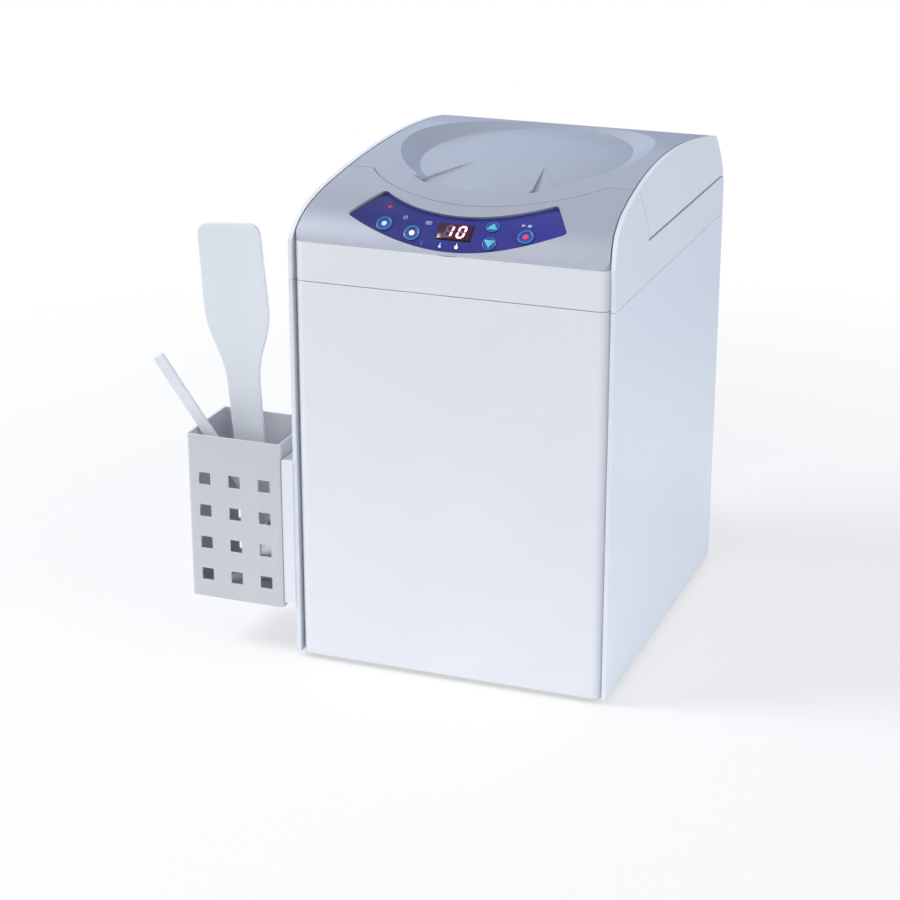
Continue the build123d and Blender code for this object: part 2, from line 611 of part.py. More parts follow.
# the lock's solenoid hangs under the deck, and its bolt slides forward
BOLT_R, BOLT_LONG, BOLT_CHAMFER = 3.0, 22.0, 0.8
BOLT_TIP_Y = LOCK_Y + TONGUE_T / 2 + 1.2       # clear of the tongue when drawn in
SOLENOID_LONG, SOLENOID_W, SOLENOID_H, BOLT_PROUD = 24.0, 16.0, 20.0, 3.0
with BuildPart() as lock_solenoid:
    with Locations((LOCK_X, BOLT_TIP_Y + BOLT_PROUD + SOLENOID_LONG / 2,
                    LID_GAP_Z - WALL - SOLENOID_H / 2)):
        Box(SOLENOID_W, SOLENOID_LONG, SOLENOID_H)
    with Locations(Location((LOCK_X, BOLT_TIP_Y + BOLT_LONG / 2, LOCK_Z), (90, 0, 0))):
        Cylinder(BOLT_R + RUN_FIT, BOLT_LONG + 2 * MATE, mode=Mode.SUBTRACT)
save(lock_solenoid, "lock_solenoid")
with BuildPart() as lock_bolt:
    with Locations(Location((LOCK_X, BOLT_TIP_Y + BOLT_LONG / 2, LOCK_Z), (90, 0, 0))):
        Cylinder(BOLT_R, BOLT_LONG)
    chamfer(lock_bolt.faces().sort_by(Axis.Y)[0].edges(), BOLT_CHAMFER)
save(lock_bolt, "lock_bolt")

# barrel hinges outside the rear wall
HINGE_BACK = REAR_Y
KNUCKLE_GAP, LEAF_START = 0.4, 2.6     # between knuckles, and from the lid's gap to a leaf
KNUCKLE_SIDE = HINGE_LONG / 4


def hinge_part(spans, z_edge, z_far):
    """Leaves and knuckles of both hinges, on one side of the lid's gap."""
    with BuildPart() as leaves:
        for middle in (-HINGE_X, HINGE_X):
            with Locations((middle, HINGE_BACK + LEAF_T / 2, (z_edge + z_far) / 2)):
                Box(HINGE_LONG, LEAF_T, abs(z_far - z_edge))
            for x0, x1 in spans:
                with Locations(Location((middle + (x0 + x1) / 2, HINGE_Y, HINGE_Z), (0, 90, 0))):
                    Cylinder(KNUCKLE_R, x1 - x0)
                low, high = sorted((HINGE_Z, z_edge + (z_far - z_edge) * 0.1))
                with Locations((middle + (x0 + x1) / 2, HINGE_BACK + LEAF_T, (low + high) / 2)):
                    Box(x1 - x0, 2 * LEAF_T, high - low)
        for middle in (-HINGE_X, HINGE_X):
            with Locations(Location((middle, HINGE_Y, HINGE_Z), (0, 90, 0))):
                Cylinder(HINGE_PIN_R + RUN_FIT, 2 * HINGE_LONG, mode=Mode.SUBTRACT)
    return leaves


half_long = HINGE_LONG / 2
inner_half = half_long - KNUCKLE_SIDE
body_spans = [(-half_long, -inner_half), (inner_half, half_long)]
lid_spans = [(-inner_half + KNUCKLE_GAP, inner_half - KNUCKLE_GAP)]
save(hinge_part(body_spans, LID_GAP_Z - LEAF_START, LID_GAP_Z - HINGE_LEAF_H),
     "hinge_leaves_body")
save(hinge_part(lid_spans, LID_Z + LEAF_START, LID_Z + HINGE_LEAF_H), "hinge_leaves_lid")
with BuildPart() as hinge_pins:
    for middle in (-HINGE_X, HINGE_X):
        with Locations(Location((middle, HINGE_Y, HINGE_Z), (0, 90, 0))):
            Cylinder(HINGE_PIN_R, HINGE_LONG + 2)
save(hinge_pins, "hinge_pins")

# ------------------------------------------------------------ lower housing
BASE_T, FLANGE_H, FLANGE_T = 2.0, 14.0, 1.5
POST_W = 15.0
with BuildPart() as base_plate:
    with BuildSketch(Plane.XY.offset(FOOT_GAP)):
        with BuildLine():
            plan_outline(WALL)
        make_face()
    extrude(amount=FLANGE_H)
    with BuildSketch(Plane.XY.offset(FOOT_GAP + BASE_T)):
        with BuildLine():
            plan_outline(WALL + FLANGE_T)
        make_face()
    extrude(amount=FLANGE_H, mode=Mode.SUBTRACT)
    with Locations((0, FRONT_Y)):
        with GridLocations(WIDTH, 2 * WRAP, 2, 1):
            Box(2 * (FRONT_INSET + CORNER_R + MATE), 2 * WRAP, 4 * FLANGE_H, mode=Mode.SUBTRACT)
save(base_plate, "base_plate")

FOOT_X, FOOT_Y, FOOT_R = 98.0, 125.0, 10.0
with BuildPart() as rubber_feet:
    with BuildSketch():
        with GridLocations(2 * FOOT_X, 2 * FOOT_Y, 2, 2):
            Circle(FOOT_R)
    extrude(amount=FOOT_GAP)
    chamfer(rubber_feet.faces().filter_by(Plane.XY).group_by(Axis.Z)[0].edges(), 1.0)
save(rubber_feet, "rubber_feet")

with BuildPart() as front_panel:
    with BuildSketch(Plane.XY.offset(FOOT_GAP)):
        with BuildLine():
            plan_outline(0, FRONT_INSET, CORNER_R)
        make_face()
        with BuildLine():
            plan_outline(WALL, FRONT_INSET + WALL, CORNER_R - WALL)
        make_face(mode=Mode.SUBTRACT)
        with Locations((0, WRAP_Y + DEPTH)):
            Rectangle(2 * WIDTH, 2 * DEPTH, mode=Mode.SUBTRACT)
    extrude(amount=SEAM_Z - FOOT_GAP)
save(front_panel, "front_panel")

side_x0, side_x1 = HALF_W - WALL, HALF_W
for side, name in ((-1, "left_side_panel"), (1, "right_side_panel")):
    with BuildPart() as side_panel:
        with Locations((side * (side_x0 + side_x1) / 2, 0, (FOOT_GAP + SEAM_Z) / 2)):
            Box(side_x1 - side_x0, DEPTH, SEAM_Z - FOOT_GAP)
    save(side_panel, name)

with BuildPart() as frame_posts:
    for x_side in (-1, 1):
        for y_end, inward in ((WRAP_Y, 1), (REAR_Y - WALL, -1)):
            with BuildSketch(Plane.XY.offset(FOOT_GAP + FLANGE_H)):
                with Locations((x_side * (side_x0 - FLANGE_T / 2), y_end + inward * POST_W / 2)):
                    Rectangle(FLANGE_T, POST_W)
                with Locations((x_side * (side_x0 - POST_W / 2), y_end + inward * FLANGE_T / 2)):
                    Rectangle(POST_W, FLANGE_T)
            extrude(amount=CORE_Z - FOOT_GAP - FLANGE_H)
save(frame_posts, "frame_posts")

REAR_T = 2.0
REAR_FACE_Y = REAR_Y - WALL + REAR_T
INLET_W, INLET_H = 27.4, 20.0
SWITCH_W, SWITCH_H = 19.4, 25.4
VENT_LOW_Z = 190.0
with BuildPart() as rear_panel:
    with Locations((0, REAR_Y - WALL + REAR_T / 2, (FOOT_GAP + SEAM_Z) / 2)):
        Box(2 * side_x0 - 2 * MATE, REAR_T, SEAM_Z - FOOT_GAP)
    with BuildSketch(Plane.XZ.offset(-REAR_Y)):
        with Locations((INLET_X, INLET_Z)):
            Rectangle(INLET_W + MATE, INLET_H + MATE)
        with Locations((SWITCH_X, SWITCH_Z)):
            Rectangle(SWITCH_W + MATE, SWITCH_H + MATE)
        with Locations((0, VENT_LOW_Z + (VENT_ROWS - 1) * VENT_PITCH / 2)):
            with GridLocations(VENT_LONG, VENT_PITCH, 1, VENT_ROWS):
                SlotOverall(VENT_LONG, VENT_HIGH)
    extrude(amount=2 * WALL, mode=Mode.SUBTRACT)
save(rear_panel, "rear_panel")

SCREW_X, SCREW_ZS, SCREW_R, SCREW_HEAD = HALF_W - 20.0, (20.0, SEAM_Z - 14.0), 3.0, 1.8
with BuildPart() as panel_screws:
    for x in (-SCREW_X, 0.0, SCREW_X):
        for z in SCREW_ZS:
            with Locations(Location((x, REAR_FACE_Y + SCREW_HEAD / 2, z), (90, 0, 0))):
                Cylinder(SCREW_R, SCREW_HEAD)
save(panel_screws, "panel_screws")

# mains inlet with its three pins, and the rocker switch
SOCKET_DEEP, SOCKET_W, SOCKET_H = 15.0, 23.0, 15.0
INLET_RIM, INLET_COLLAR, INLET_DEEP = 2.5, 3.0, 20.0     # collar's height and width, and depth
INLET_PIN_X, INLET_PIN_Z, INLET_PIN_W, INLET_PIN_H, INLET_PIN_LONG = 7.0, 2.5, 2.0, 4.0, 12.0
with BuildPart() as power_inlet:
    with BuildSketch(Plane.XZ.offset(-REAR_FACE_Y - INLET_RIM)):
        with Locations((INLET_X, INLET_Z)):
            RectangleRounded(INLET_W + 2 * INLET_COLLAR, INLET_H + 2 * INLET_COLLAR, INLET_COLLAR)
    extrude(amount=INLET_RIM)
    with BuildSketch(Plane.XZ.offset(-REAR_FACE_Y)):
        with Locations((INLET_X, INLET_Z)):
            Rectangle(INLET_W, INLET_H)
    extrude(amount=INLET_DEEP)
    with BuildSketch(Plane.XZ.offset(-REAR_FACE_Y - INLET_RIM)):
        with Locations((INLET_X, INLET_Z)):
            Rectangle(SOCKET_W, SOCKET_H)
    extrude(amount=SOCKET_DEEP, mode=Mode.SUBTRACT)
    with BuildSketch(Plane.XZ.offset(-REAR_FACE_Y + SOCKET_DEEP - INLET_RIM)):
        with Locations((INLET_X - INLET_PIN_X, INLET_Z - INLET_PIN_Z),
                       (INLET_X + INLET_PIN_X, INLET_Z - INLET_PIN_Z),
                       (INLET_X, INLET_Z + INLET_PIN_Z)):
            Rectangle(INLET_PIN_W, INLET_PIN_H)
    extrude(amount=-INLET_PIN_LONG)
save(power_inlet, "power_inlet")

ROCKER_R, ROCKER_FIT, ROCKER_THROW = 10.6, 0.4, 14.0
# the rocker's shallow V, from its pivot: half height, ends, middle and back
ROCKER_HALF, ROCKER_END, ROCKER_MID, ROCKER_BACK = 9.9, 3.6, 2.0, 3.6
ROCKER_Y = REAR_FACE_Y - 1.0
SWITCH_COLLAR, SWITCH_WALL, SWITCH_DEEP = 2.0, 1.5, 22.0
with BuildPart() as switch_frame:
    with BuildSketch(Plane.XZ.offset(-REAR_FACE_Y - SWITCH_COLLAR)):
        with Locations((SWITCH_X, SWITCH_Z)):
            RectangleRounded(SWITCH_W + 2 * SWITCH_COLLAR, SWITCH_H + 2 * SWITCH_COLLAR,
                             SWITCH_COLLAR)
    extrude(amount=SWITCH_COLLAR)
    with BuildSketch(Plane.XZ.offset(-REAR_FACE_Y)):
        with Locations((SWITCH_X, SWITCH_Z)):
            Rectangle(SWITCH_W, SWITCH_H)
    extrude(amount=SWITCH_DEEP)
    with BuildSketch(Plane.XZ.offset(-REAR_FACE_Y - SWITCH_COLLAR)):
        with Locations((SWITCH_X, SWITCH_Z)):
            Rectangle(SWITCH_W - 2 * SWITCH_WALL, 2 * (ROCKER_R + ROCKER_FIT))
    extrude(amount=2 * SWITCH_COLLAR + ROCKER_R, mode=Mode.SUBTRACT)
save(switch_frame, "switch_frame")
with BuildPart() as power_rocker:
    with BuildSketch(Plane.YZ.offset(SWITCH_X - SWITCH_W / 2 + SWITCH_WALL + ROCKER_FIT)):
        with Locations(Location((ROCKER_Y, SWITCH_Z, 0), (0, 0, -ROCKER_THROW / 2))):
            Polygon((-ROCKER_BACK, -ROCKER_HALF), (ROCKER_END, -ROCKER_HALF), (ROCKER_MID, 0),
                    (ROCKER_END, ROCKER_HALF), (-ROCKER_BACK, ROCKER_HALF), align=None)
    extrude(amount=SWITCH_W - 2 * SWITCH_WALL - 2 * ROCKER_FIT)
save(power_rocker, "power_rocker")

# ------------------------------------------------------------ motor and drive
MOUNT_SPAN, MOUNT_R, MOUNT_RUBBER = 140.0, 8.0, 8.0
BASE_TOP_Z = FOOT_GAP + BASE_T
with BuildPart() as motor_posts:
    with BuildSketch(Plane.XY.offset(BASE_TOP_Z)):
        with Locations((0, CHAMBER_Y)):
            with GridLocations(MOUNT_SPAN, MOUNT_SPAN, 2, 2):
                Circle(MOUNT_R)
    extrude(amount=MOTOR_PLATE_Z - MOUNT_RUBBER - BASE_TOP_Z)
save(motor_posts, "motor_posts")
with BuildPart() as rubber_mounts:
    with BuildSketch(Plane.XY.offset(MOTOR_PLATE_Z - MOUNT_RUBBER)):
        with Locations((0, CHAMBER_Y)):
            with GridLocations(MOUNT_SPAN, MOUNT_SPAN, 2, 2):
                Circle(MOUNT_R + 2)
    extrude(amount=MOUNT_RUBBER)
save(rubber_mounts, "rubber_mounts")
HOUSING_R, HOUSING_FLANGE_R, HOUSING_FLANGE = 26.0, 36.0, 4.0
PLATE_W, PLATE_CORNER_R = MOUNT_SPAN + 30.0, 12.0
with BuildPart() as motor_plate:
    with BuildSketch(Plane.XY.offset(MOTOR_PLATE_Z)):
        with Locations((0, CHAMBER_Y)):
            RectangleRounded(PLATE_W, PLATE_W, PLATE_CORNER_R)
            Circle(HUB_R, mode=Mode.SUBTRACT)
    extrude(amount=MOTOR_PLATE_T)
save(motor_plate, "motor_plate")


rotor_section = Plane.XZ.offset(-CHAMBER_Y)


def turned(*outlines, cut=(), section=rotor_section):
    """A turned piece, from (radius, height) outlines on a plane through its axis."""
    axis = Axis(section.origin, section.y_dir)
    with BuildPart() as piece:
        for points in outlines:
            with BuildSketch(section):
                Polygon(*points, align=None)
            revolve(axis=axis)
        for points in cut:
            with BuildSketch(section):
                Polygon(*points, align=None)
            revolve(axis=axis, mode=Mode.SUBTRACT)
    return piece


def tube(r0, r1, z0, z1):
    """A ring's outline, from inner to outer radius."""
    return ((r0, z0), (r1, z0), (r1, z1), (r0, z1))


BORE_R = SHAFT_R + RUN_FIT
CAN_WALL, CAN_END = 14.0, 8.0
ARMATURE_GAP, ARMATURE_END = 1.0, 3.0
SHAFT_START, SHAFT_PROUD = 2.0, 4.5
can_room = tube(BORE_R - 0.1, MOTOR_R - CAN_WALL, MOTOR_Z0 + CAN_END, MOTOR_Z1 - CAN_END)
save(turned(tube(BORE_R, MOTOR_R, MOTOR_Z0, MOTOR_Z1), cut=[can_room]), "motor_can")
save(turned(tube(SHAFT_R, MOTOR_R - CAN_WALL - ARMATURE_GAP, MOTOR_Z0 + CAN_END + ARMATURE_END,
                 MOTOR_Z1 - CAN_END - ARMATURE_END)), "motor_armature")
save(turned(tube(0, SHAFT_R, MOTOR_Z0 + SHAFT_START, HUB_Z1 + SHAFT_PROUD)), "drive_shaft")
HOUSING_Z0, HOUSING_Z1 = MOTOR_PLATE_Z + MOTOR_PLATE_T, CHAMBER_FLOOR_Z - WALL
BEARING_R, BEARING_H = 16.0, 10.0
HOUSING_BORE_R = SHAFT_R + 3.0
bearing_spans = [(HOUSING_Z0 + HOUSING_FLANGE, HOUSING_Z0 + HOUSING_FLANGE + BEARING_H),
                 (HOUSING_Z1 - HOUSING_FLANGE - BEARING_H, HOUSING_Z1 - HOUSING_FLANGE)]
save(turned(tube(HOUSING_BORE_R, HOUSING_R, HOUSING_Z0, HOUSING_Z1),
            tube(HOUSING_BORE_R, HOUSING_FLANGE_R, HOUSING_Z0, HOUSING_Z0 + HOUSING_FLANGE),
            tube(HOUSING_BORE_R, HOUSING_FLANGE_R, HOUSING_Z1 - HOUSING_FLANGE, HOUSING_Z1),
            cut=[tube(SHAFT_R, BEARING_R, z0, z1) for z0, z1 in bearing_spans]),
     "bearing_housing")
save(turned(*[tube(BORE_R, BEARING_R, z0, z1) for z0, z1 in bearing_spans]), "shaft_bearings")
SEAL_R = 13.0
save(turned(tube(SHAFT_R + 0.1, SEAL_R, CHAMBER_FLOOR_Z - WALL, CHAMBER_FLOOR_Z)), "shaft_seal")

# ------------------------------------------------------------ chamber
tilt = math.radians(BOWL_TILT)
APEX_REACH = BOWL_OFFSET / math.sin(tilt) + TYRE_BACK
cone_half = math.atan(TYRE_R / APEX_REACH)
APEX_Z = BOWL_FOOT_Z + BOWL_OFFSET / math.tan(tilt)
contact = math.hypot(APEX_REACH, TYRE_R)
line_angle = tilt + cone_half


def track_point(along, out):
    """A point by the line where the tyre meets its track: (radius, height)."""
    reach = contact + along
    return (reach * math.sin(line_angle) + out * math.cos(line_angle),
            APEX_Z - reach * math.cos(line_angle) + out * math.sin(line_angle))


track_high = track_point(-TYRE_W / 2 - 1, TRACK_FIT)
track_low = track_point(TYRE_W / 2 + 1, TRACK_FIT)
LEDGE_Z = track_low[1]
TRACK_OUT_R = CHAMBER_R - MATE
TRACK_TOP_Z = track_high[1] + 4.0
save(turned((track_high, track_low, (TRACK_OUT_R, LEDGE_Z), (TRACK_OUT_R, TRACK_TOP_Z),
             (track_high[0], TRACK_TOP_Z))), "friction_track")
save(turned(tube(SEAL_R, TUB_R, CHAMBER_FLOOR_Z - WALL, LID_GAP_Z),
            tube(CHAMBER_R, TUB_LIP_R, LID_GAP_Z, LID_GAP_Z + TUB_LIP),
            cut=[tube(SEAL_R - 1, CHAMBER_R - TUB_LEDGE, CHAMBER_FLOOR_Z, TOP_REACH),
                 tube(SEAL_R, CHAMBER_R, LEDGE_Z, TOP_REACH)]), "chamber_tub")
SEAL_IN_R = CHAMBER_R + 1.0
save(turned(tube(SEAL_IN_R, SEAL_IN_R + SEAL_W, LID_GAP_Z + TUB_LIP,
                 LID_GAP_Z + TUB_LIP + SEAL_H)), "chamber_seal")

# ------------------------------------------------------------ rotor
NUT_R, NUT_H, NUT_ROOM = 9.0, 4.0, 30.0
ARM_REACH = 88.0
PLATE_BACK, PLATE_FRONT = -12.0, -4.0
PLATE_LONG = 70.0          # the tilted plate, from the bowl's axis down to the arm
WEB_T = 12.0               # the rib under the tilted plate
WEB_POINTS = ((CHAMBER_Y, HUB_Z0 + 2), (17.0, HUB_Z0 + 2), (36.0, 186.0), (30.0, 190.0),
              (CHAMBER_Y, ARM_Z1))
BOSS_R, BOSS_BACK = 17.0, -22.0
SPINDLE_BEARING_R, SPINDLE_BEARING_H = 11.0, 6.0
carrier_origin = (0, CHAMBER_Y + BOWL_OFFSET, BOWL_FOOT_Z)
carrier_plane = Plane(origin=carrier_origin, x_dir=(1, 0, 0),
                      z_dir=(0, -math.sin(tilt), math.cos(tilt)))
carrier_section = Plane(origin=carrier_origin, x_dir=(1, 0, 0),
                        z_dir=(0, -math.cos(tilt), -math.sin(tilt)))

arm_hub = turned(tube(0, HUB_R, HUB_Z0, HUB_Z1))
arm_boss = turned(tube(0, BOSS_R, BOSS_BACK, PLATE_FRONT), section=carrier_section)
with BuildPart() as rotor_arm:
    add(arm_hub.part)
    add(arm_boss.part)
    with BuildSketch(carrier_plane.offset(PLATE_BACK)):
        Circle(BOSS_R + 1)
        with Locations((0, -PLATE_LONG / 2)):
            Rectangle(2 * ARM_HALF, PLATE_LONG)
    extrude(amount=PLATE_FRONT - PLATE_BACK)
    with BuildSketch(Plane.XY.offset(ARM_Z0)):
        with Locations((0, CHAMBER_Y - ARM_REACH / 2)):
            Rectangle(2 * ARM_HALF, ARM_REACH)
    extrude(amount=ARM_Z1 - ARM_Z0)
    with BuildSketch(Plane.YZ.offset(-WEB_T / 2)):
        Polygon(*WEB_POINTS, align=None)
    extrude(amount=WEB_T)
    with Locations((0, CHAMBER_Y, HUB_Z1 + NUT_ROOM / 2)):
        Cylinder(NUT_R + 2, NUT_ROOM, mode=Mode.SUBTRACT)
    with Locations((0, CHAMBER_Y, HUB_Z1)):
        Cylinder(SHAFT_R, 2 * NUT_ROOM, mode=Mode.SUBTRACT)
    with BuildSketch(carrier_plane):
        Circle(SPINDLE_BEARING_R)
    extrude(amount=2 * BOSS_BACK, mode=Mode.SUBTRACT)
save(rotor_arm, "rotor_arm")

with BuildPart() as counterweight:
    with BuildSketch(Plane.XY.offset(ARM_Z1)):
        with Locations((0, CHAMBER_Y)):
            Circle(COUNTER_R1)
            Circle(COUNTER_R0, mode=Mode.SUBTRACT)
        spread = math.radians(COUNTER_HALF)
        wide, far = 2 * COUNTER_R1 * math.sin(spread), CHAMBER_Y - 2 * COUNTER_R1 * math.cos(spread)
        Polygon((0, CHAMBER_Y), (-wide, far), (wide, far), align=None, mode=Mode.INTERSECT)
    extrude(amount=COUNTER_Z1 - ARM_Z1)
    fillet(counterweight.edges().filter_by(Axis.Z), COUNTER_CORNER_R)
    chamfer(counterweight.faces().sort_by(Axis.Z)[-1].edges(), COUNTER_CORNER_R / 2)
save(counterweight, "counterweight")

with BuildPart() as rotor_nut:
    with BuildSketch(Plane.XY.offset(HUB_Z1)):
        with Locations((0, CHAMBER_Y)):
            RegularPolygon(NUT_R, 6)
            Circle(SHAFT_R, mode=Mode.SUBTRACT)
    extrude(amount=NUT_H)
save(rotor_nut, "rotor_nut")

spindle_spans = [(PLATE_FRONT - SPINDLE_BEARING_H, PLATE_FRONT),
                 (BOSS_BACK, BOSS_BACK + SPINDLE_BEARING_H)]
save(turned(*[tube(SPINDLE_R + RUN_FIT, SPINDLE_BEARING_R, z0, z1)
              for z0, z1 in spindle_spans], section=carrier_section), "carrier_bearings")

# ------------------------------------------------------------ bowl carrier
TYRE_BORE_R = 14.0
SPINDLE_FLANGE_R, SPINDLE_FLANGE = 14.0, 3.6
TYRE_Z0, TYRE_Z1 = -TYRE_BACK - TYRE_W / 2, -TYRE_BACK + TYRE_W / 2
cone_rate = math.tan(cone_half)
SOCKET_R, SOCKET_SPARE = PEG_R + CARRIER_FIT, 0.5
BOWL_RATE = (BOWL_R - BOWL_FOOT_R) / BOWL_H

cup_form = turned(
    tube(0, CARRIER_R, 0, CARRIER_FLOOR + CARRIER_DEPTH), section=carrier_section,
    cut=[((0, CARRIER_FLOOR), (BOWL_FOOT_R + CARRIER_FIT, CARRIER_FLOOR),
          (BOWL_FOOT_R + CARRIER_FIT + BOWL_RATE * (CARRIER_DEPTH + 2),
           CARRIER_FLOOR + CARRIER_DEPTH + 2), (0, CARRIER_FLOOR + CARRIER_DEPTH + 2))])
with BuildPart() as bowl_carrier:
    add(cup_form.part)
    with BuildSketch(carrier_plane.offset(CARRIER_FLOOR)):
        with PolarLocations(PEG_CIRCLE_R, BOWL_PEGS):
            Circle(SOCKET_R)
    extrude(amount=-PEG_H - SOCKET_SPARE, mode=Mode.SUBTRACT)
save(bowl_carrier, "bowl_carrier")
save(turned(tube(0, SPINDLE_R, TYRE_Z0 - NUT_H - 1, 0),
            tube(0, SPINDLE_FLANGE_R, -SPINDLE_FLANGE, 0), section=carrier_section),
     "carrier_spindle")
save(turned(tube(SPINDLE_R, TYRE_BORE_R, TYRE_Z0, TYRE_Z1), section=carrier_section),
     "tyre_wheel")
save(turned(((TYRE_BORE_R, TYRE_Z0), (TYRE_R + TYRE_W / 2 * cone_rate, TYRE_Z0),
             (TYRE_R - TYRE_W / 2 * cone_rate, TYRE_Z1), (TYRE_BORE_R, TYRE_Z1)),
            section=carrier_section), "drive_tyre")
save(turned(tube(SPINDLE_R, NUT_R - 1, TYRE_Z0 - NUT_H, TYRE_Z0), section=carrier_section),
     "spindle_nut")

# ------------------------------------------------------------ mixing bowl
BEAD_R, BEAD_LOW, BEAD_HIGH = BOWL_R + 1.0, 70.0, 74.0
BOWL_FLOOR, BOWL_FILLET, BEAD_ROOT = 3.0, 4.0, 2.0
BOWL_CORNER_R = 5.0
foot_z, rim_z = CARRIER_FLOOR, CARRIER_FLOOR + BOWL_H
with BuildPart() as mixing_bowl:
    with BuildSketch(carrier_section) as bowl_profile:
        Polygon((0, foot_z), (BOWL_FOOT_R, foot_z), (BOWL_R, rim_z), (0, rim_z), align=None)
        corner = bowl_profile.vertices().sort_by(Axis.X)[-2:].sort_by(Axis.Z)[0]
        fillet(corner, BOWL_CORNER_R)
    revolve(axis=Axis(carrier_section.origin, carrier_section.y_dir))
    with BuildSketch(carrier_section):
        Polygon((BOWL_R - BEAD_ROOT, foot_z + BEAD_LOW), (BEAD_R, foot_z + BEAD_LOW + 1),
                (BEAD_R, foot_z + BEAD_HIGH - 1), (BOWL_R - BEAD_ROOT, foot_z + BEAD_HIGH), align=None)
    revolve(axis=Axis(carrier_section.origin, carrier_section.y_dir))
    with BuildSketch(carrier_section):
        Polygon((0, foot_z + BOWL_FLOOR), (BOWL_FOOT_R - BOWL_WALL - BOWL_FILLET, foot_z + BOWL_FLOOR),
                (BOWL_FOOT_R - BOWL_WALL, foot_z + BOWL_FLOOR + BOWL_FILLET),
                (BOWL_R - BOWL_WALL, rim_z + 1), (0, rim_z + 1), align=None)
    revolve(axis=Axis(carrier_section.origin, carrier_section.y_dir), mode=Mode.SUBTRACT)
    with BuildSketch(carrier_plane.offset(foot_z + BOWL_FLOOR / 2)):
        with PolarLocations(PEG_CIRCLE_R, BOWL_PEGS):
            Circle(PEG_R)
    extrude(amount=-PEG_H - BOWL_FLOOR / 2)
save(mixing_bowl, "mixing_bowl")

lid_low, lid_high = rim_z + BOWL_LID_TOP - BOWL_LID_H, rim_z + BOWL_LID_TOP
with BuildPart() as bowl_lid:
    with BuildSketch(carrier_section) as lid_profile:
        Polygon((0, lid_low), (BOWL_LID_R, lid_low), (BOWL_LID_R, lid_high), (0, lid_high),
                align=None)
        corner = lid_profile.vertices().sort_by(Axis.X)[-2:].sort_by(Axis.Z)[-1]
        fillet(corner, BOWL_LID_TOP)
    revolve(axis=Axis(carrier_section.origin, carrier_section.y_dir))
    with BuildSketch(carrier_section):
        Polygon((0, lid_low - 1), (BOWL_R + BOWL_LID_FIT, lid_low - 1),
                (BOWL_R + BOWL_LID_FIT, rim_z), (0, rim_z), align=None)
    revolve(axis=Axis(carrier_section.origin, carrier_section.y_dir), mode=Mode.SUBTRACT)
save(bowl_lid, "bowl_lid")

# ------------------------------------------------------------ electrics
SUPPLY_W, SUPPLY_H, SUPPLY_ROOM = 90.0, 64.0, 5.0
supply_y0 = CHAMBER_Y + MOUNT_SPAN / 2 + MOUNT_R + SUPPLY_ROOM
supply_y1 = REAR_Y - 2 * SUPPLY_ROOM
SUPPLY_D = supply_y1 - supply_y0
SUPPLY_X, SUPPLY_Y = 20.0 - HALF_W + SUPPLY_W / 2, (supply_y0 + supply_y1) / 2
CHIP_H = 6.0
CHIPS = ((-40.0, 20.0, 14.0), (5.0, 30.0, 12.0), (48.0, 16.0, 10.0))   # place, width, height
with BuildPart() as power_supply:
    with Locations((SUPPLY_X, SUPPLY_Y, BASE_TOP_Z + SUPPLY_H / 2)):
        Box(SUPPLY_W, SUPPLY_D, SUPPLY_H)
save(power_supply, "power_supply")
with BuildPart() as control_board:
    with Locations((0, BOARD_Y + BOARD_T / 2, BOARD_Z)):
        Box(BOARD_W, BOARD_T, BOARD_H)
    for x, wide, tall in CHIPS:
        with Locations((x, BOARD_Y + BOARD_T + CHIP_H / 2, BOARD_Z)):
            Box(wide, CHIP_H, tall)
save(control_board, "control_board")

BUMPER_R, BUMPER_IN, BUMPER_YS = 4.0, 13.0, (-20.0, 100.0)
with BuildPart() as lid_bumpers:
    with BuildSketch(Plane.XY.offset(LID_GAP_Z)):
        for y in BUMPER_YS:
            with Locations((BUMPER_IN - HALF_W, y), (HALF_W - BUMPER_IN, y)):
                Circle(BUMPER_R)
    extrude(amount=LINER_Z - LID_GAP_Z - MATE)
save(lid_bumpers, "lid_bumpers")

# ------------------------------------------------------------ tool holder
BRACKET_Y0, BRACKET_Y1 = FRONT_Y - 1.0, FRONT_Y + 54.0
BRACKET_Z0, BRACKET_Z1, BRACKET_CORNER_R = 44.0, 162.0, 2.0
STUD_Y, STUD_ZS, STUD_R, STUD_HEAD_R, STUD_HEAD = FRONT_Y + 45.0, (72.0, 140.0), 2.5, 5.0, 1.6
STUD_FOOT, STUD_ROOM, STUD_FIT, HEAD_FIT = 2.0, 0.2, 0.15, 0.5
HOLDER_LIFT = 12.0
with BuildPart() as holder_bracket:
    add(slab(-HALF_W - BRACKET_T, -HALF_W, BRACKET_Y0, BRACKET_Y1, BRACKET_Z0, BRACKET_Z1))
    fillet(holder_bracket.faces().sort_by(Axis.X)[0].edges(), BRACKET_CORNER_R)
    for z in STUD_ZS:
        stud_long = STUD_FOOT + HOLDER_T + STUD_ROOM
        with Locations(Location((HOLDER_X1 + STUD_FOOT - stud_long / 2, STUD_Y, z), (0, 90, 0))):
            Cylinder(STUD_R, stud_long)
        with Locations(Location((HOLDER_X1 - HOLDER_T - STUD_ROOM - STUD_HEAD / 2, STUD_Y, z),
                                (0, 90, 0))):
            Cylinder(STUD_HEAD_R, STUD_HEAD)
save(holder_bracket, "holder_bracket")

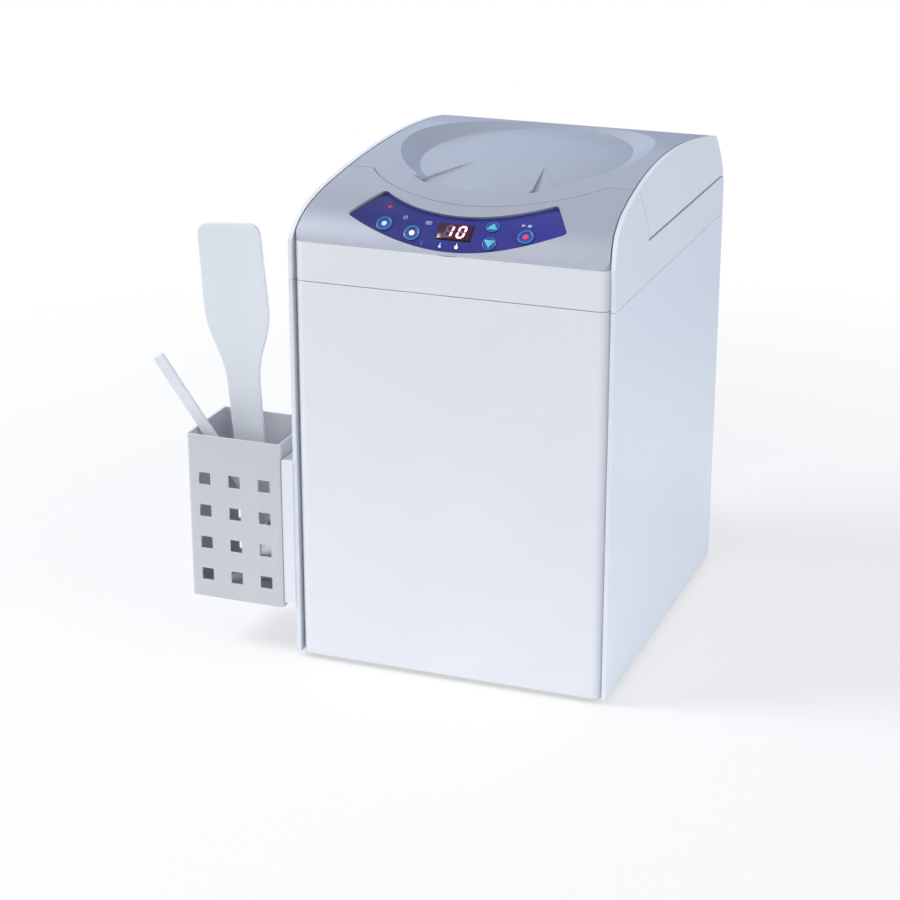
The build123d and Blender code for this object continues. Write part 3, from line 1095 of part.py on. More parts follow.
holder_x = (HOLDER_X0 + HOLDER_X1) / 2
holder_y = HOLDER_Y0 + HOLDER_D / 2
HOLDER_CORNER_R = 3.0
with BuildPart() as tool_holder:
    with BuildSketch(Plane.XY.offset(HOLDER_Z)):
        with Locations((holder_x, holder_y)):
            RectangleRounded(HOLDER_W, HOLDER_D, HOLDER_CORNER_R)
    extrude(amount=HOLDER_H)
    with BuildSketch(Plane.XY.offset(HOLDER_Z + HOLDER_T)):
        with Locations((holder_x, holder_y)):
            RectangleRounded(HOLDER_W - 2 * HOLDER_T, HOLDER_D - 2 * HOLDER_T,
                             HOLDER_CORNER_R - HOLDER_T)
    extrude(amount=HOLDER_H, mode=Mode.SUBTRACT)
    hole_z = HOLE_LOW_Z + (HOLE_ROWS - 1) * HOLE_PITCH_Z / 2
    with BuildSketch(Plane.XZ.offset(-holder_y)):
        with Locations((holder_x, hole_z)):
            with GridLocations(HOLE_PITCH_X, HOLE_PITCH_Z, HOLE_COLUMNS, HOLE_ROWS):
                Rectangle(HOLE, HOLE)
    extrude(amount=HOLDER_D, both=True, mode=Mode.SUBTRACT)
    with BuildSketch(Plane.YZ.offset(holder_x)):
        with Locations((holder_y, hole_z)):
            with GridLocations(HOLE_PITCH_Y, HOLE_PITCH_Z, HOLE_COLUMNS, HOLE_ROWS):
                Rectangle(HOLE, HOLE)
    extrude(amount=-HOLDER_W, mode=Mode.SUBTRACT)
    with BuildSketch(Plane.YZ.offset(holder_x)):
        for z in STUD_ZS:
            with Locations((STUD_Y, z - HOLDER_LIFT)):
                Circle(STUD_HEAD_R + HEAD_FIT)
            with Locations((STUD_Y, z - HOLDER_LIFT / 2)):
                Rectangle(2 * (STUD_R + STUD_FIT), HOLDER_LIFT)
            with Locations((STUD_Y, z)):
                Circle(STUD_R + STUD_FIT)
    extrude(amount=HOLDER_W, mode=Mode.SUBTRACT)
save(tool_holder, "tool_holder")

# ------------------------------------------------------------ spatula and scoop
SPATULA_LEAN, SPATULA_Y, SPATULA_T, SPATULA_EDGE = 4.2, HOLDER_Y0 + 40.0, 3.0, 0.5
SPATULA_FOOT_X, SPATULA_FOOT_Z = -170.0, HOLDER_Z + HOLDER_T + 0.9
# half widths of the spatula at heights along it, and the rounding at each
SPATULA_OUTLINE = ((0, 13.0, 5.0), (112, 13.0, 60.0), (177, 14.0, 85.0),
                   (212, 27.5, 75.0), (290, 26.0, 9.0))
lean = math.radians(SPATULA_LEAN)
spatula_plane = Plane(origin=(SPATULA_FOOT_X, SPATULA_Y + SPATULA_T / 2, SPATULA_FOOT_Z),
                      x_dir=(math.cos(lean), 0, math.sin(lean)), z_dir=(0, -1, 0))
right_edge = [(half, along) for along, half, _ in SPATULA_OUTLINE]
left_edge = [(-half, along) for half, along in reversed(right_edge)]
spatula_radii = [radius for _, _, radius in SPATULA_OUTLINE]
with BuildPart() as spatula:
    with BuildSketch(spatula_plane):
        with BuildLine():
            FilletPolyline(*right_edge, *left_edge, close=True,
                           radius=spatula_radii + spatula_radii[::-1])
        make_face()
    extrude(amount=SPATULA_T)
    chamfer(spatula.faces().filter_by(Axis.Y).edges(), SPATULA_EDGE)
save(spatula, "spatula")

SCOOP_LEAN, SCOOP_Y, SCOOP_W, SCOOP_T = 35.4, HOLDER_Y0 + 18.0, 9.0, 3.0
SCOOP_CUP_R, SCOOP_CUP_DEEP, SCOOP_CUP_WALL = 15.0, 22.0, 1.6
SCOOP_UP, SCOOP_DOWN = 62.0, 90.0
SCOOP_RIM = 1.5            # the cup's rim over the middle of its strip
SCOOP_FIT, SCOOP_END_R = 0.2, 0.7
scoop_lean = math.radians(SCOOP_LEAN)
rest_x, rest_z = HOLDER_X0 + HOLDER_T, HOLDER_Z + HOLDER_H
scoop_clear = SCOOP_W / 2 + SCOOP_FIT
scoop_plane = Plane(origin=(rest_x + scoop_clear * math.cos(scoop_lean), SCOOP_Y + SCOOP_T / 2,
                            rest_z + scoop_clear * math.sin(scoop_lean)),
                    x_dir=(math.cos(scoop_lean), 0, math.sin(scoop_lean)), z_dir=(0, -1, 0))
cup_section = Plane(origin=scoop_plane.from_local_coords((0, -SCOOP_DOWN - SCOOP_CUP_R,
                                                          SCOOP_T / 2)),
                    x_dir=(0, -1, 0),
                    z_dir=(-math.sin(scoop_lean), 0, math.cos(scoop_lean)))
cup_side = SCOOP_RIM - SCOOP_CUP_DEEP
cup_void = SCOOP_CUP_R - SCOOP_CUP_WALL
scoop_cup = turned(tube(0, SCOOP_CUP_R, cup_side, SCOOP_RIM), section=cup_section,
                   cut=[tube(0, cup_void, cup_side + SCOOP_CUP_WALL, SCOOP_W)])
with BuildPart() as measuring_scoop:
    with BuildSketch(scoop_plane):
        with Locations((0, (SCOOP_UP - SCOOP_DOWN - SCOOP_CUP_WALL / 2) / 2)):
            RectangleRounded(SCOOP_W, SCOOP_UP + SCOOP_DOWN + SCOOP_CUP_WALL / 2,
                             SCOOP_END_R)
    extrude(amount=SCOOP_T)
    add(scoop_cup.part)
save(measuring_scoop, "measuring_scoop")
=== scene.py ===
import json
import math
import bpy
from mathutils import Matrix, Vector


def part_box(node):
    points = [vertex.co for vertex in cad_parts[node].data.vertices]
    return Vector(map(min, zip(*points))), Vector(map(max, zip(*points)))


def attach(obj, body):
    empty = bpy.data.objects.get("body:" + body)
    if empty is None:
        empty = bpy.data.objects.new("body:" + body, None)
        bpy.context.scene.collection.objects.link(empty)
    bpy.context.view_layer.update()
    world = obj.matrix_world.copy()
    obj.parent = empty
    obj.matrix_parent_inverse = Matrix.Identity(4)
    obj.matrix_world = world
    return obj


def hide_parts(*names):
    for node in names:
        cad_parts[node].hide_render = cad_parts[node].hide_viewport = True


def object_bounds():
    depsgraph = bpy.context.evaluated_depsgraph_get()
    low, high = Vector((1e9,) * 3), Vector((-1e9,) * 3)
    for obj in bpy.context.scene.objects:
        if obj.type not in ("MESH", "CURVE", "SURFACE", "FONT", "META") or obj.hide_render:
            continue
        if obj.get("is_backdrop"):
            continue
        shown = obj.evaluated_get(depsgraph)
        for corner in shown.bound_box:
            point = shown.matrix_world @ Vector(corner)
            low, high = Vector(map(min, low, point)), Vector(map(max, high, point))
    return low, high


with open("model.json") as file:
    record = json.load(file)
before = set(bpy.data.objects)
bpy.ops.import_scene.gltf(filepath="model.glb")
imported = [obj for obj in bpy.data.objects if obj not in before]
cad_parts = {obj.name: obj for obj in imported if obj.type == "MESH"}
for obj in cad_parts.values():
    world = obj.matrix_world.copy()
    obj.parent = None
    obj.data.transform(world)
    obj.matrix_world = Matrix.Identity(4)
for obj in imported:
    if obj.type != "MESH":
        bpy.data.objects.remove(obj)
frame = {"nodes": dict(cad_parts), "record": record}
CAD_LOW, CAD_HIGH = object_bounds()
MM = 0.001

# ------------------------------------------------------------------ camera
CAMERA_PLACE = (0.5592, -1.6369, 0.7711)
CAMERA_DOWN, CAMERA_TURN = 20.21, 20.57     # degrees
CAMERA_LENS, SENSOR = 92.18, 36.0           # millimetres
camera_data = bpy.data.cameras.new("photo_camera")
camera = bpy.data.objects.new("photo_camera", camera_data)
bpy.context.scene.collection.objects.link(camera)
bpy.context.scene.camera = camera
camera_data.sensor_width = SENSOR
camera_data.lens = CAMERA_LENS
camera_data.clip_start, camera_data.clip_end = 0.05, 50.0
camera.location = CAMERA_PLACE
camera.rotation_euler = (math.radians(90 - CAMERA_DOWN), 0.0, math.radians(CAMERA_TURN))


# ------------------------------------------------------------------ materials
class Wire:
    """One value in a finish; sums and products of wires add their Math nodes."""

    def __init__(self, finish, socket):
        self.finish, self.socket = finish, socket

    def _with(self, operation, first, second):
        return self.finish.node("ShaderNodeMath", {"operation": operation},
                                {0: first, 1: second})

    def __add__(self, other):
        return self._with("ADD", self, other)

    def __radd__(self, other):
        return self._with("ADD", other, self)

    def __sub__(self, other):
        return self._with("SUBTRACT", self, other)

    def __rsub__(self, other):
        return self._with("SUBTRACT", other, self)

    def __mul__(self, other):
        return self._with("MULTIPLY", self, other)

    def __rmul__(self, other):
        return self._with("MULTIPLY", other, self)

    def __lt__(self, other):
        return self._with("LESS_THAN", self, other)


class Finish:
    """A material for one finish of the machine, on Object coordinates in metres."""

    def __init__(self, name, roughness=0.5, metallic=0.0, coat=0.0, specular=0.5):
        self.material = bpy.data.materials.new(name)
        self.material.use_nodes = True
        self.tree = self.material.node_tree
        self.tree.nodes.clear()
        output = self.tree.nodes.new("ShaderNodeOutputMaterial")
        self.shader = self.tree.nodes.new("ShaderNodeBsdfPrincipled")
        self.tree.links.new(self.shader.outputs["BSDF"], output.inputs["Surface"])
        self.place = self.node("ShaderNodeTexCoord", out="Object")
        for socket, value in (("Roughness", roughness), ("Metallic", metallic),
                              ("Coat Weight", coat), ("Specular IOR Level", specular)):
            self.shader.inputs[socket].default_value = value

    def node(self, kind, settings=None, inputs=None, out=0):
        """A node of any type: its settings first, then the values or wires of its sockets."""
        made = self.tree.nodes.new(kind)
        for key, value in (settings or {}).items():
            if key == "stops":
                while len(made.color_ramp.elements) < len(value):
                    made.color_ramp.elements.new(0.5)
                for element, (position, colour) in zip(made.color_ramp.elements, value):
                    element.position, element.color = position, (*colour, 1.0)
            else:
                setattr(made, key, value)
        for key, value in (inputs or {}).items():
            self.feed(made.inputs[key], value)
        return Wire(self, made.outputs[out])

    def feed(self, socket, value):
        if isinstance(value, Wire):
            self.tree.links.new(value.socket, socket)
        else:
            socket.default_value = value

    def put(self, **sockets):
        """Feeds the shader's sockets, with spaces written as underscores."""
        for name, value in sockets.items():
            self.feed(self.shader.inputs[name.replace("_", " ")], value)
        return self

    def noise(self, size, detail=2.0, rough=0.5, stretch=None):
        """Cloudy noise from 0 to 1 whose blots are about size metres across."""
        where = self.place
        if stretch:
            where = self.node("ShaderNodeMapping", inputs={"Vector": where, "Scale": stretch})
        return self.node("ShaderNodeTexNoise",
                         inputs={"Vector": where, "Scale": 1 / size, "Detail": detail,
                                 "Roughness": rough})

    def axis(self, letter):
        """One of the three Object coordinates, in metres."""
        return self.node("ShaderNodeSeparateXYZ", inputs={0: self.place}, out=letter)

    def mix(self, share, low, high):
        """A colour between two colours or colour wires."""
        pair = [value if isinstance(value, Wire) else (*value, 1.0) for value in (low, high)]
        return self.node("ShaderNodeMix", {"data_type": "RGBA"},
                         {"Factor": share, 6: pair[0], 7: pair[1]}, out=2)

    def ramp(self, value, low, high):
        """0 below low, 1 above high, and even between them."""
        return self.node("ShaderNodeMapRange", inputs={"Value": value, "From Min": low,
                                                       "From Max": high})

    def bump(self, height, depth, strength=1.0):
        self.put(Normal=self.node("ShaderNodeBump", inputs={
            "Height": height, "Distance": depth, "Strength": strength}))
        return self


def shade(colour, factor):
    return tuple(min(1.0, channel * factor) for channel in colour)


def moulded_plastic(name, colour, roughness, grain=0.00006, coat=0.0, drift=0.04):
    """Moulded plastic: faint cloudiness, a fine spark-eroded grain and uneven sheen."""
    finish = Finish(name, coat=coat)
    clouds = finish.noise(0.09, 3.0)
    specks = finish.noise(0.0011, 2.0, 0.6)
    tint = finish.mix(clouds, shade(colour, 1 - drift), shade(colour, 1 + drift / 2))
    tint = finish.mix(specks * 0.25, tint, shade(colour, 1 - drift))
    finish.put(Base_Color=tint,
               Roughness=roughness - 0.05 + clouds * 0.06 + specks * 0.05)
    return finish.bump(specks, grain)


def enamelled_sheet(name, colour, roughness):
    """Sprayed enamel on sheet metal, with a long soft orange peel."""
    finish = Finish(name, coat=0.15)
    clouds = finish.noise(0.14, 3.0)
    peel = finish.noise(0.0035, 1.0, 0.4)
    finish.put(Base_Color=finish.mix(clouds, shade(colour, 0.965), shade(colour, 1.015)),
               Roughness=roughness - 0.03 + peel * 0.08)
    return finish.bump(peel, 0.00005)


def silver_paint(name, colour, roughness):
    """Satin silver-grey paint: fine pale flakes in a slightly metallic coat."""
    finish = Finish(name, metallic=0.3, coat=0.1)
    clouds = finish.noise(0.1, 3.0)
    flakes = finish.node("ShaderNodeTexVoronoi", {"feature": "F1"},
                         {"Vector": finish.place, "Scale": 2600.0}, out="Color")
    spark = finish.node("ShaderNodeSeparateXYZ", inputs={0: flakes}, out="X")
    tint = finish.mix(clouds, shade(colour, 0.96), shade(colour, 1.02))
    tint = finish.mix(spark * 0.16, tint, shade(colour, 1.28))
    finish.put(Base_Color=tint, Roughness=roughness + spark * 0.08 - clouds * 0.04)
    return finish.bump(spark, 0.00003)


def turned_metal(name, colour, roughness, spacing, stretch):
    """Turned, rolled or brushed metal, with fine marks along one direction."""
    finish = Finish(name, metallic=1.0)
    marks = finish.noise(spacing, 3.0, 0.7, stretch)
    clouds = finish.noise(0.03, 2.0)
    finish.put(Base_Color=finish.mix(clouds, shade(colour, 0.88), shade(colour, 1.06)),
               Roughness=roughness - 0.08 + marks * 0.2)
    return finish.bump(marks, 0.00004)


def plated_sheet(name):
    """Zinc-plated sheet, with the grey spangle of its crystals."""
    finish = Finish(name, metallic=1.0)
    spangle = finish.node("ShaderNodeTexVoronoi", inputs={"Vector": finish.place, "Scale": 110.0},
                          out="Color")
    grain = finish.node("ShaderNodeSeparateXYZ", inputs={0: spangle}, out="Y")
    finish.put(Base_Color=finish.mix(grain, (0.42, 0.44, 0.46), (0.60, 0.62, 0.63)),
               Roughness=0.34 + grain * 0.16)
    return finish.bump(finish.noise(0.002), 0.00005)


def cast_grey(name):
    """Painted cast iron, rough from the sand."""
    finish = Finish(name)
    sand = finish.noise(0.0016, 4.0, 0.65)
    wear = finish.noise(0.02, 3.0)
    finish.put(Base_Color=finish.mix(wear, (0.045, 0.05, 0.055), (0.085, 0.09, 0.10)),
               Roughness=0.50 + sand * 0.2)
    return finish.bump(sand, 0.0003)


def soft_rubber(name, colour, roughness):
    """Matt rubber, dusted and slightly mottled."""
    finish = Finish(name, specular=0.35)
    dust = finish.noise(0.012, 4.0, 0.6)
    pores = finish.noise(0.0009, 2.0)
    finish.put(Base_Color=finish.mix(finish.ramp(dust, 0.45, 0.8), colour, shade(colour, 1.9)),
               Roughness=roughness + pores * 0.12)
    return finish.bump(pores, 0.0001)


def milky_plastic(name, colour, roughness):
    """Milky translucent plastic with faint flow lines from moulding."""
    finish = Finish(name)
    finish.shader.inputs["Subsurface Weight"].default_value = 0.35
    finish.shader.inputs["Subsurface Radius"].default_value = (0.012, 0.013, 0.016)
    finish.shader.inputs["Subsurface Scale"].default_value = 0.5
    flow = finish.noise(0.025, 4.0, 0.6, (1.0, 1.0, 0.25))
    grain = finish.noise(0.0008)
    finish.put(Base_Color=finish.mix(flow, shade(colour, 0.94), shade(colour, 1.03)),
               Roughness=roughness - 0.04 + flow * 0.1)
    return finish.bump(grain, 0.00005)


def printed_foil(name):
    """The panel's deep blue foil: print under clear gloss, with painted shade that darkens it
    towards its left end.
    """
    finish = Finish(name, coat=0.35)
    # painted shade: the blue is mixed darker towards the foil's left (-X) end
    across = finish.ramp(finish.axis("X"), -0.085, 0.085)
    clouds = finish.noise(0.03, 2.0)
    tint = finish.mix(across, (0.009, 0.013, 0.130), (0.024, 0.024, 0.29))
    tint = finish.mix(clouds * 0.25, tint, (0.035, 0.04, 0.34))
    weave = finish.noise(0.0006)
    finish.put(Base_Color=tint, Roughness=0.22 + weave * 0.1)
    return finish.bump(weave, 0.00001)


def clear_paint(name, colour, roughness, glow=0.0):
    """Small printed or lit marks: one ink with a faint unevenness; glow on a printed mark is a
    painted glow.
    """
    finish = Finish(name, coat=0.2)
    ink = finish.noise(0.0015, 2.0)
    tint = finish.mix(ink, shade(colour, 0.88), shade(colour, 1.05))
    finish.put(Base_Color=tint, Roughness=roughness + ink * 0.1)
    if glow:
        finish.put(Emission_Color=tint)
        finish.shader.inputs["Emission Strength"].default_value = glow
    return finish


def lacquered_board(name):
    """A circuit board: green lacquer over a faint net of copper tracks."""
    finish = Finish(name, coat=0.3)
    net = finish.node("ShaderNodeTexVoronoi", {"feature": "DISTANCE_TO_EDGE"},
                      {"Vector": finish.place, "Scale": 320.0}, out="Distance")
    tracks = net < 0.06
    finish.put(Base_Color=finish.mix(tracks, (0.012, 0.11, 0.045), (0.035, 0.20, 0.085)),
               Roughness=0.35 + tracks * 0.1)
    return finish.bump(tracks, 0.00003)


# finishes by material slot, and the inks and lamps of the panel
WHITE = (0.805, 0.828, 0.885)
FINISHES = {
    "housing_white": moulded_plastic("cabinet_white", WHITE, 0.36, coat=0.1),
    "sheet_white": enamelled_sheet("side_enamel", (0.800, 0.835, 0.905), 0.36),
    "top_grey": silver_paint("silver_top", (0.455, 0.485, 0.565), 0.38),
    "panel_blue": printed_foil("blue_foil"),
    "key_blue": clear_paint("key_dome", (0.030, 0.075, 0.33), 0.25),
    "display_red": clear_paint("display_glass", (0.055, 0.004, 0.03), 0.12),
    "led_red": clear_paint("red_lamp", (0.60, 0.02, 0.06), 0.2, glow=0.25),
    "liner_white": moulded_plastic("lining_white", (0.62, 0.65, 0.70), 0.45),
    "black_plastic": moulded_plastic("black_housing", (0.018, 0.018, 0.02), 0.45, drift=0.2),
    "dark_rubber": soft_rubber("dark_rubber", (0.022, 0.022, 0.024), 0.75),
    "steel": turned_metal("bright_steel", (0.58, 0.59, 0.61), 0.32, 0.0012, (1, 1, 8)),
    "plated_sheet": plated_sheet("zinc_sheet"),
    "light_alloy": turned_metal("light_alloy", (0.70, 0.71, 0.73), 0.38, 0.0015, (1, 1, 6)),
    "iron_grey": cast_grey("cast_iron"),
    "bowl_plastic": milky_plastic("bowl_plastic", (0.80, 0.83, 0.90), 0.42),
    "holder_grey": enamelled_sheet("holder_enamel", (0.60, 0.61, 0.65), 0.42),
    "tool_white": milky_plastic("tool_plastic", (0.78, 0.82, 0.87), 0.38),
    "board_green": lacquered_board("board_lacquer"),
}
# painted glow: the printed inks of the key rings, arrows, dots and pins below emit a faint light
# of their own; only the lit digits and the red lamp are real light
RING_BLUE_PAINTED_GLOW = clear_paint("ring_blue_painted_glow", (0.045, 0.17, 0.46), 0.25, glow=0.06)
ARROW_TEAL_PAINTED_GLOW = clear_paint("arrow_teal_painted_glow", (0.12, 0.50, 0.66), 0.25, glow=0.12)
DOT_CYAN_PAINTED_GLOW = clear_paint("dot_cyan_painted_glow", (0.35, 0.70, 0.90), 0.25, glow=0.4)
DOT_CREAM_PAINTED_GLOW = clear_paint("dot_cream_painted_glow", (0.95, 0.90, 0.62), 0.25, glow=0.6)
DOT_RED_PAINTED_GLOW = clear_paint("dot_red_painted_glow", (0.80, 0.03, 0.14), 0.25, glow=0.5)
PRINT_PALE = clear_paint("print_pale", (0.50, 0.56, 0.86), 0.4)
LIT_DIGIT = clear_paint("lit_digit", (1.0, 0.50, 0.58), 0.3, glow=1.3)
UNLIT_DIGIT = clear_paint("unlit_digit", (0.14, 0.10, 0.17), 0.3)
SLOT_OF = {part["node"]: part["material_slot"] for part in frame["record"]["subparts"]}
BODY_OF = {node: body for body, nodes in frame["record"]["behaviour"]["bodies"].items()
           for node in nodes}


# ------------------------------------------------------------------ workshop
def clear_selection():
    if bpy.context.object and bpy.context.object.mode != "OBJECT":
        bpy.ops.object.mode_set(mode="OBJECT")
    bpy.ops.object.select_all(action="DESELECT")


def take(piece):
    """Makes piece the only selected and the active object."""
    clear_selection()
    piece.select_set(True)
    bpy.context.view_layer.objects.active = piece


def modify(piece, kind, **settings):
    """Adds a modifier and applies it."""
    take(piece)
    modifier = piece.modifiers.new(kind.lower(), kind)
    for key, value in settings.items():
        setattr(modifier, key, value)
    bpy.ops.object.modifier_apply(modifier=modifier.name)


def finish_piece(piece, name, body, slot, finish=None):
    """Applies a piece's place, and gives it its name, body and finish."""
    take(piece)
    bpy.ops.object.transform_apply(location=True, rotation=True, scale=True)
    piece.name = piece.data.name = name
    piece.data.materials.clear()
    piece.data.materials.append((finish or FINISHES[slot]).material)
    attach(piece, body)
    return piece


def smooth(piece, degrees=35.0):
    take(piece)
    bpy.ops.object.shade_smooth_by_angle(angle=math.radians(degrees))


MERGE, FLAT = 0.01 * MM, 0.4                # doubles nearer, and facets flatter in degrees
CREASE = 30.0                              # an edge sharper than this many degrees is rounded
SHALLOW = {"lid_shell": 12.0, "control_cover": 14.0, "bowl_lid": 16.0}


def dressed(node, edge):
    """A copy of a CAD node with its doubles merged and its sharp edges rounded by edge mm."""
    source = frame["nodes"][node]
    piece = bpy.data.objects.new(node + "_dressed", source.data.copy())
    bpy.context.scene.collection.objects.link(piece)
    take(piece)
    bpy.ops.object.mode_set(mode="EDIT")
    bpy.ops.mesh.select_all(action="SELECT")
    bpy.ops.mesh.remove_doubles(threshold=MERGE)
    bpy.ops.mesh.dissolve_limited(angle_limit=math.radians(FLAT))
    bpy.ops.object.mode_set(mode="OBJECT")
    modify(piece, "BEVEL", width=edge * MM, segments=2, limit_method="ANGLE",
           angle_limit=math.radians(SHALLOW.get(node, CREASE)), miter_outer="MITER_ARC",
           use_clamp_overlap=True, harden_normals=False)
    smooth(piece)
    modify(piece, "WEIGHTED_NORMAL", keep_sharp=True, weight=60)
    finish_piece(piece, node + "_dressed", BODY_OF[node], SLOT_OF[node])
    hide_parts(node)
    return piece


# how far the edges of each dressed node are rounded, in millimetres
SOFT_EDGES = {
    "front_panel": 0.6, "left_side_panel": 0.4, "right_side_panel": 0.4, "rear_panel": 0.3,
    "upper_frame": 0.4, "control_cover": 0.45, "lid_shell": 0.45, "lid_frame": 0.4,
    "holder_bracket": 0.4, "tool_holder": 0.35, "spatula": 0.5, "measuring_scoop": 0.5,
    "bowl_lid": 0.8, "mixing_bowl": 0.4, "bowl_carrier": 0.6, "rotor_arm": 0.6,
    "counterweight": 0.4, "chamber_tub": 0.4, "lid_liner": 0.4, "power_inlet": 0.35,
    "switch_frame": 0.4, "power_rocker": 0.4, "motor_can": 1.2, "bearing_housing": 0.6,
    "power_supply": 1.0, "friction_track": 0.4, "hinge_leaves_body": 0.25,
    "hinge_leaves_lid": 0.25, "base_plate": 0.4, "frame_posts": 0.3, "drive_tyre": 0.8,
}
for node in frame["nodes"]:
    if node in SOFT_EDGES:
        dressed(node, SOFT_EDGES[node])
    else:
        shown = frame["nodes"][node]
        shown.data.materials.clear()
        shown.data.materials.append(FINISHES[SLOT_OF[node]].material)


# ------------------------------------------------------------------ modelling helpers
def start(primitive, **settings):
    """Adds a primitive at the origin and leaves it alone selected."""
    clear_selection()
    primitive(**settings)
    return bpy.context.object


def edit(piece):
    take(piece)
    bpy.ops.object.mode_set(mode="EDIT")
    bpy.ops.mesh.select_mode(type="FACE")
    bpy.ops.mesh.select_all(action="DESELECT")
    bpy.ops.object.mode_set(mode="OBJECT")


def pick_faces(piece, test):
    """Selects the faces whose middle and normal pass the test, and enters edit mode."""
    edit(piece)
    for face in piece.data.polygons:
        face.select = test(face.center, face.normal)
    bpy.ops.object.mode_set(mode="EDIT")


def soften(piece, width, segments=2):
    """Rounds a piece's sharp edges by a width in millimetres."""
    modify(piece, "BEVEL", width=width * MM, segments=segments, limit_method="ANGLE",
           angle_limit=math.radians(32))
    smooth(piece)


def plate(outline, thickness):
    """A flat plate on z = 0 from an outline in millimetres, extruded upwards."""
    piece = start(bpy.ops.mesh.primitive_circle_add, vertices=len(outline), radius=1 * MM,
                  fill_type="NGON")
    for index, (x, y) in enumerate(outline):
        bpy.ops.object.mode_set(mode="EDIT")
        bpy.ops.mesh.select_mode(type="VERT")
        bpy.ops.mesh.select_all(action="DESELECT")
        bpy.ops.object.mode_set(mode="OBJECT")
        corner = piece.data.vertices[index]
        corner.select = True
        move = Vector((x * MM, y * MM, 0.0)) - corner.co
        bpy.ops.object.mode_set(mode="EDIT")
        bpy.ops.transform.translate(value=move)
        bpy.ops.object.mode_set(mode="OBJECT")
    bpy.ops.object.mode_set(mode="EDIT")
    bpy.ops.mesh.select_all(action="SELECT")
    bpy.ops.mesh.extrude_region_move(TRANSFORM_OT_translate={"value": (0, 0, thickness * MM)})
    bpy.ops.mesh.select_all(action="SELECT")
    bpy.ops.mesh.normals_make_consistent(inside=False)
    bpy.ops.object.mode_set(mode="OBJECT")
    return piece


def disc(radius, thickness, edge, sides=48):
    """A round plate with a rounded upper edge."""
    piece = start(bpy.ops.mesh.primitive_cylinder_add, vertices=sides, radius=radius * MM,
                  depth=thickness * MM, location=(0, 0, thickness * MM / 2))
    take(piece)
    bpy.ops.object.transform_apply(location=True)
    soften(piece, edge, 3)
    return piece


def ring(outer, inner, thickness, edge, sides=48):
    """A round plate with its middle inset and cut out as a hole."""
    piece = start(bpy.ops.mesh.primitive_cylinder_add, vertices=sides, radius=outer * MM,
                  depth=thickness * MM, location=(0, 0, thickness * MM / 2))
    take(piece)
    bpy.ops.object.transform_apply(location=True)
    pick_faces(piece, lambda middle, normal: abs(normal.z) > 0.9)
    bpy.ops.mesh.inset(thickness=(outer - inner) * MM)
    bpy.ops.mesh.bridge_edge_loops()
    bpy.ops.object.mode_set(mode="OBJECT")
    soften(piece, edge, 2)
    return piece


def bar(long, wide, thickness, edge=0.1):
    """A straight bar along X with rounded edges, its middle at the origin."""
    half, side = long / 2, wide / 2
    piece = plate([(-half, -side), (half, -side), (half, side), (-half, side)], thickness)
    soften(piece, edge, 2)
    return piece


def shift(piece, x=0.0, y=0.0, z=0.0, turn=0.0):
    """Moves a piece in millimetres and turns it about Z, before it is placed."""
    piece.rotation_euler = (0, 0, math.radians(turn))
    piece.location = (x * MM, y * MM, z * MM)
    take(piece)
    bpy.ops.object.transform_apply(location=True, rotation=True)
    return piece


def joined(pieces):
    clear_selection()
    for piece in pieces:
        piece.select_set(True)
    bpy.context.view_layer.objects.active = pieces[0]
    bpy.ops.object.join()
    return pieces[0]


# ------------------------------------------------------------------ control panel
FRONT_Y, EDGE_Z = -152.0, 334.0
KNEE_R, SHOULDER_R = 42.0, 130.0
SLOPES = [math.radians(angle) for angle in (68.0, 24.0, 11.5)]


def panel_spot(w, drop):
    """A place on the curved panel, w up the slope from the front edge: y, z and slope."""
    knee = (FRONT_Y + KNEE_R * math.sin(SLOPES[0]), EDGE_Z - KNEE_R * math.cos(SLOPES[0]))
    bend = KNEE_R - SHOULDER_R
    shoulder = (knee[0] - bend * math.sin(SLOPES[1]), knee[1] + bend * math.cos(SLOPES[1]))
    half = math.sqrt(0.5)
    for (y, z), radius, low in ((knee, KNEE_R, SLOPES[1]), (shoulder, SHOULDER_R, SLOPES[2])):
        across = (FRONT_Y + w * half - y) * half + (EDGE_Z + w * half - z) * half
        slope = math.pi / 4 - math.asin(across / (radius - drop))
        if slope >= low:
            break
    return y - (radius - drop) * math.sin(slope), z + (radius - drop) * math.cos(slope), slope


def on_panel(piece, x, w, drop):
    """Lays a flat piece on the panel, drop millimetres under the grey top's surface."""
    y, z, slope = panel_spot(w, drop)
    piece.location = (x * MM, y * MM, z * MM)
    piece.rotation_euler = (slope, 0, 0)
    return piece


KEYS = {"select_key": (-54.0, 21.0), "menu_key": (-31.0, 15.2), "up_key": (27.5, 27.0),
        "down_key": (28.5, 12.6), "start_stop_key": (54.0, 20.7)}
KEY_TOP, FOIL_TOP = 1.9, 2.3                # how far they lie under the grey top's surface
SUNK = 0.25                                # how far a ring is let into its key
DOTS = {"select_key": DOT_CYAN_PAINTED_GLOW, "menu_key": DOT_CREAM_PAINTED_GLOW, "start_stop_key": DOT_RED_PAINTED_GLOW}
for key, (x, w) in KEYS.items():
    if key in DOTS:
        rim = on_panel(ring(6.0, 4.6, 0.8, 0.3), x, w, KEY_TOP + SUNK)
        finish_piece(rim, key + "_ring", key, "key_blue", RING_BLUE_PAINTED_GLOW)
        dot = on_panel(disc(2.0, 0.6, 0.4), x, w, KEY_TOP + 0.15)
        finish_piece(dot, key + "_dot", key, "key_blue", DOTS[key])
    else:
        rim = on_panel(ring(5.0, 4.3, 0.7, 0.25), x, w, KEY_TOP + SUNK)
        finish_piece(rim, key + "_ring", key, "key_blue", RING_BLUE_PAINTED_GLOW)
        up = 1 if key == "up_key" else -1
        arrow = plate([(-4.2, -2.7 * up), (4.2, -2.7 * up), (0, 3.6 * up)][::up], 0.6)
        soften(arrow, 0.25, 2)
        finish_piece(on_panel(arrow, x, w, KEY_TOP + 0.1), key + "_arrow", key, "key_blue",
                     ARROW_TEAL_PAINTED_GLOW)

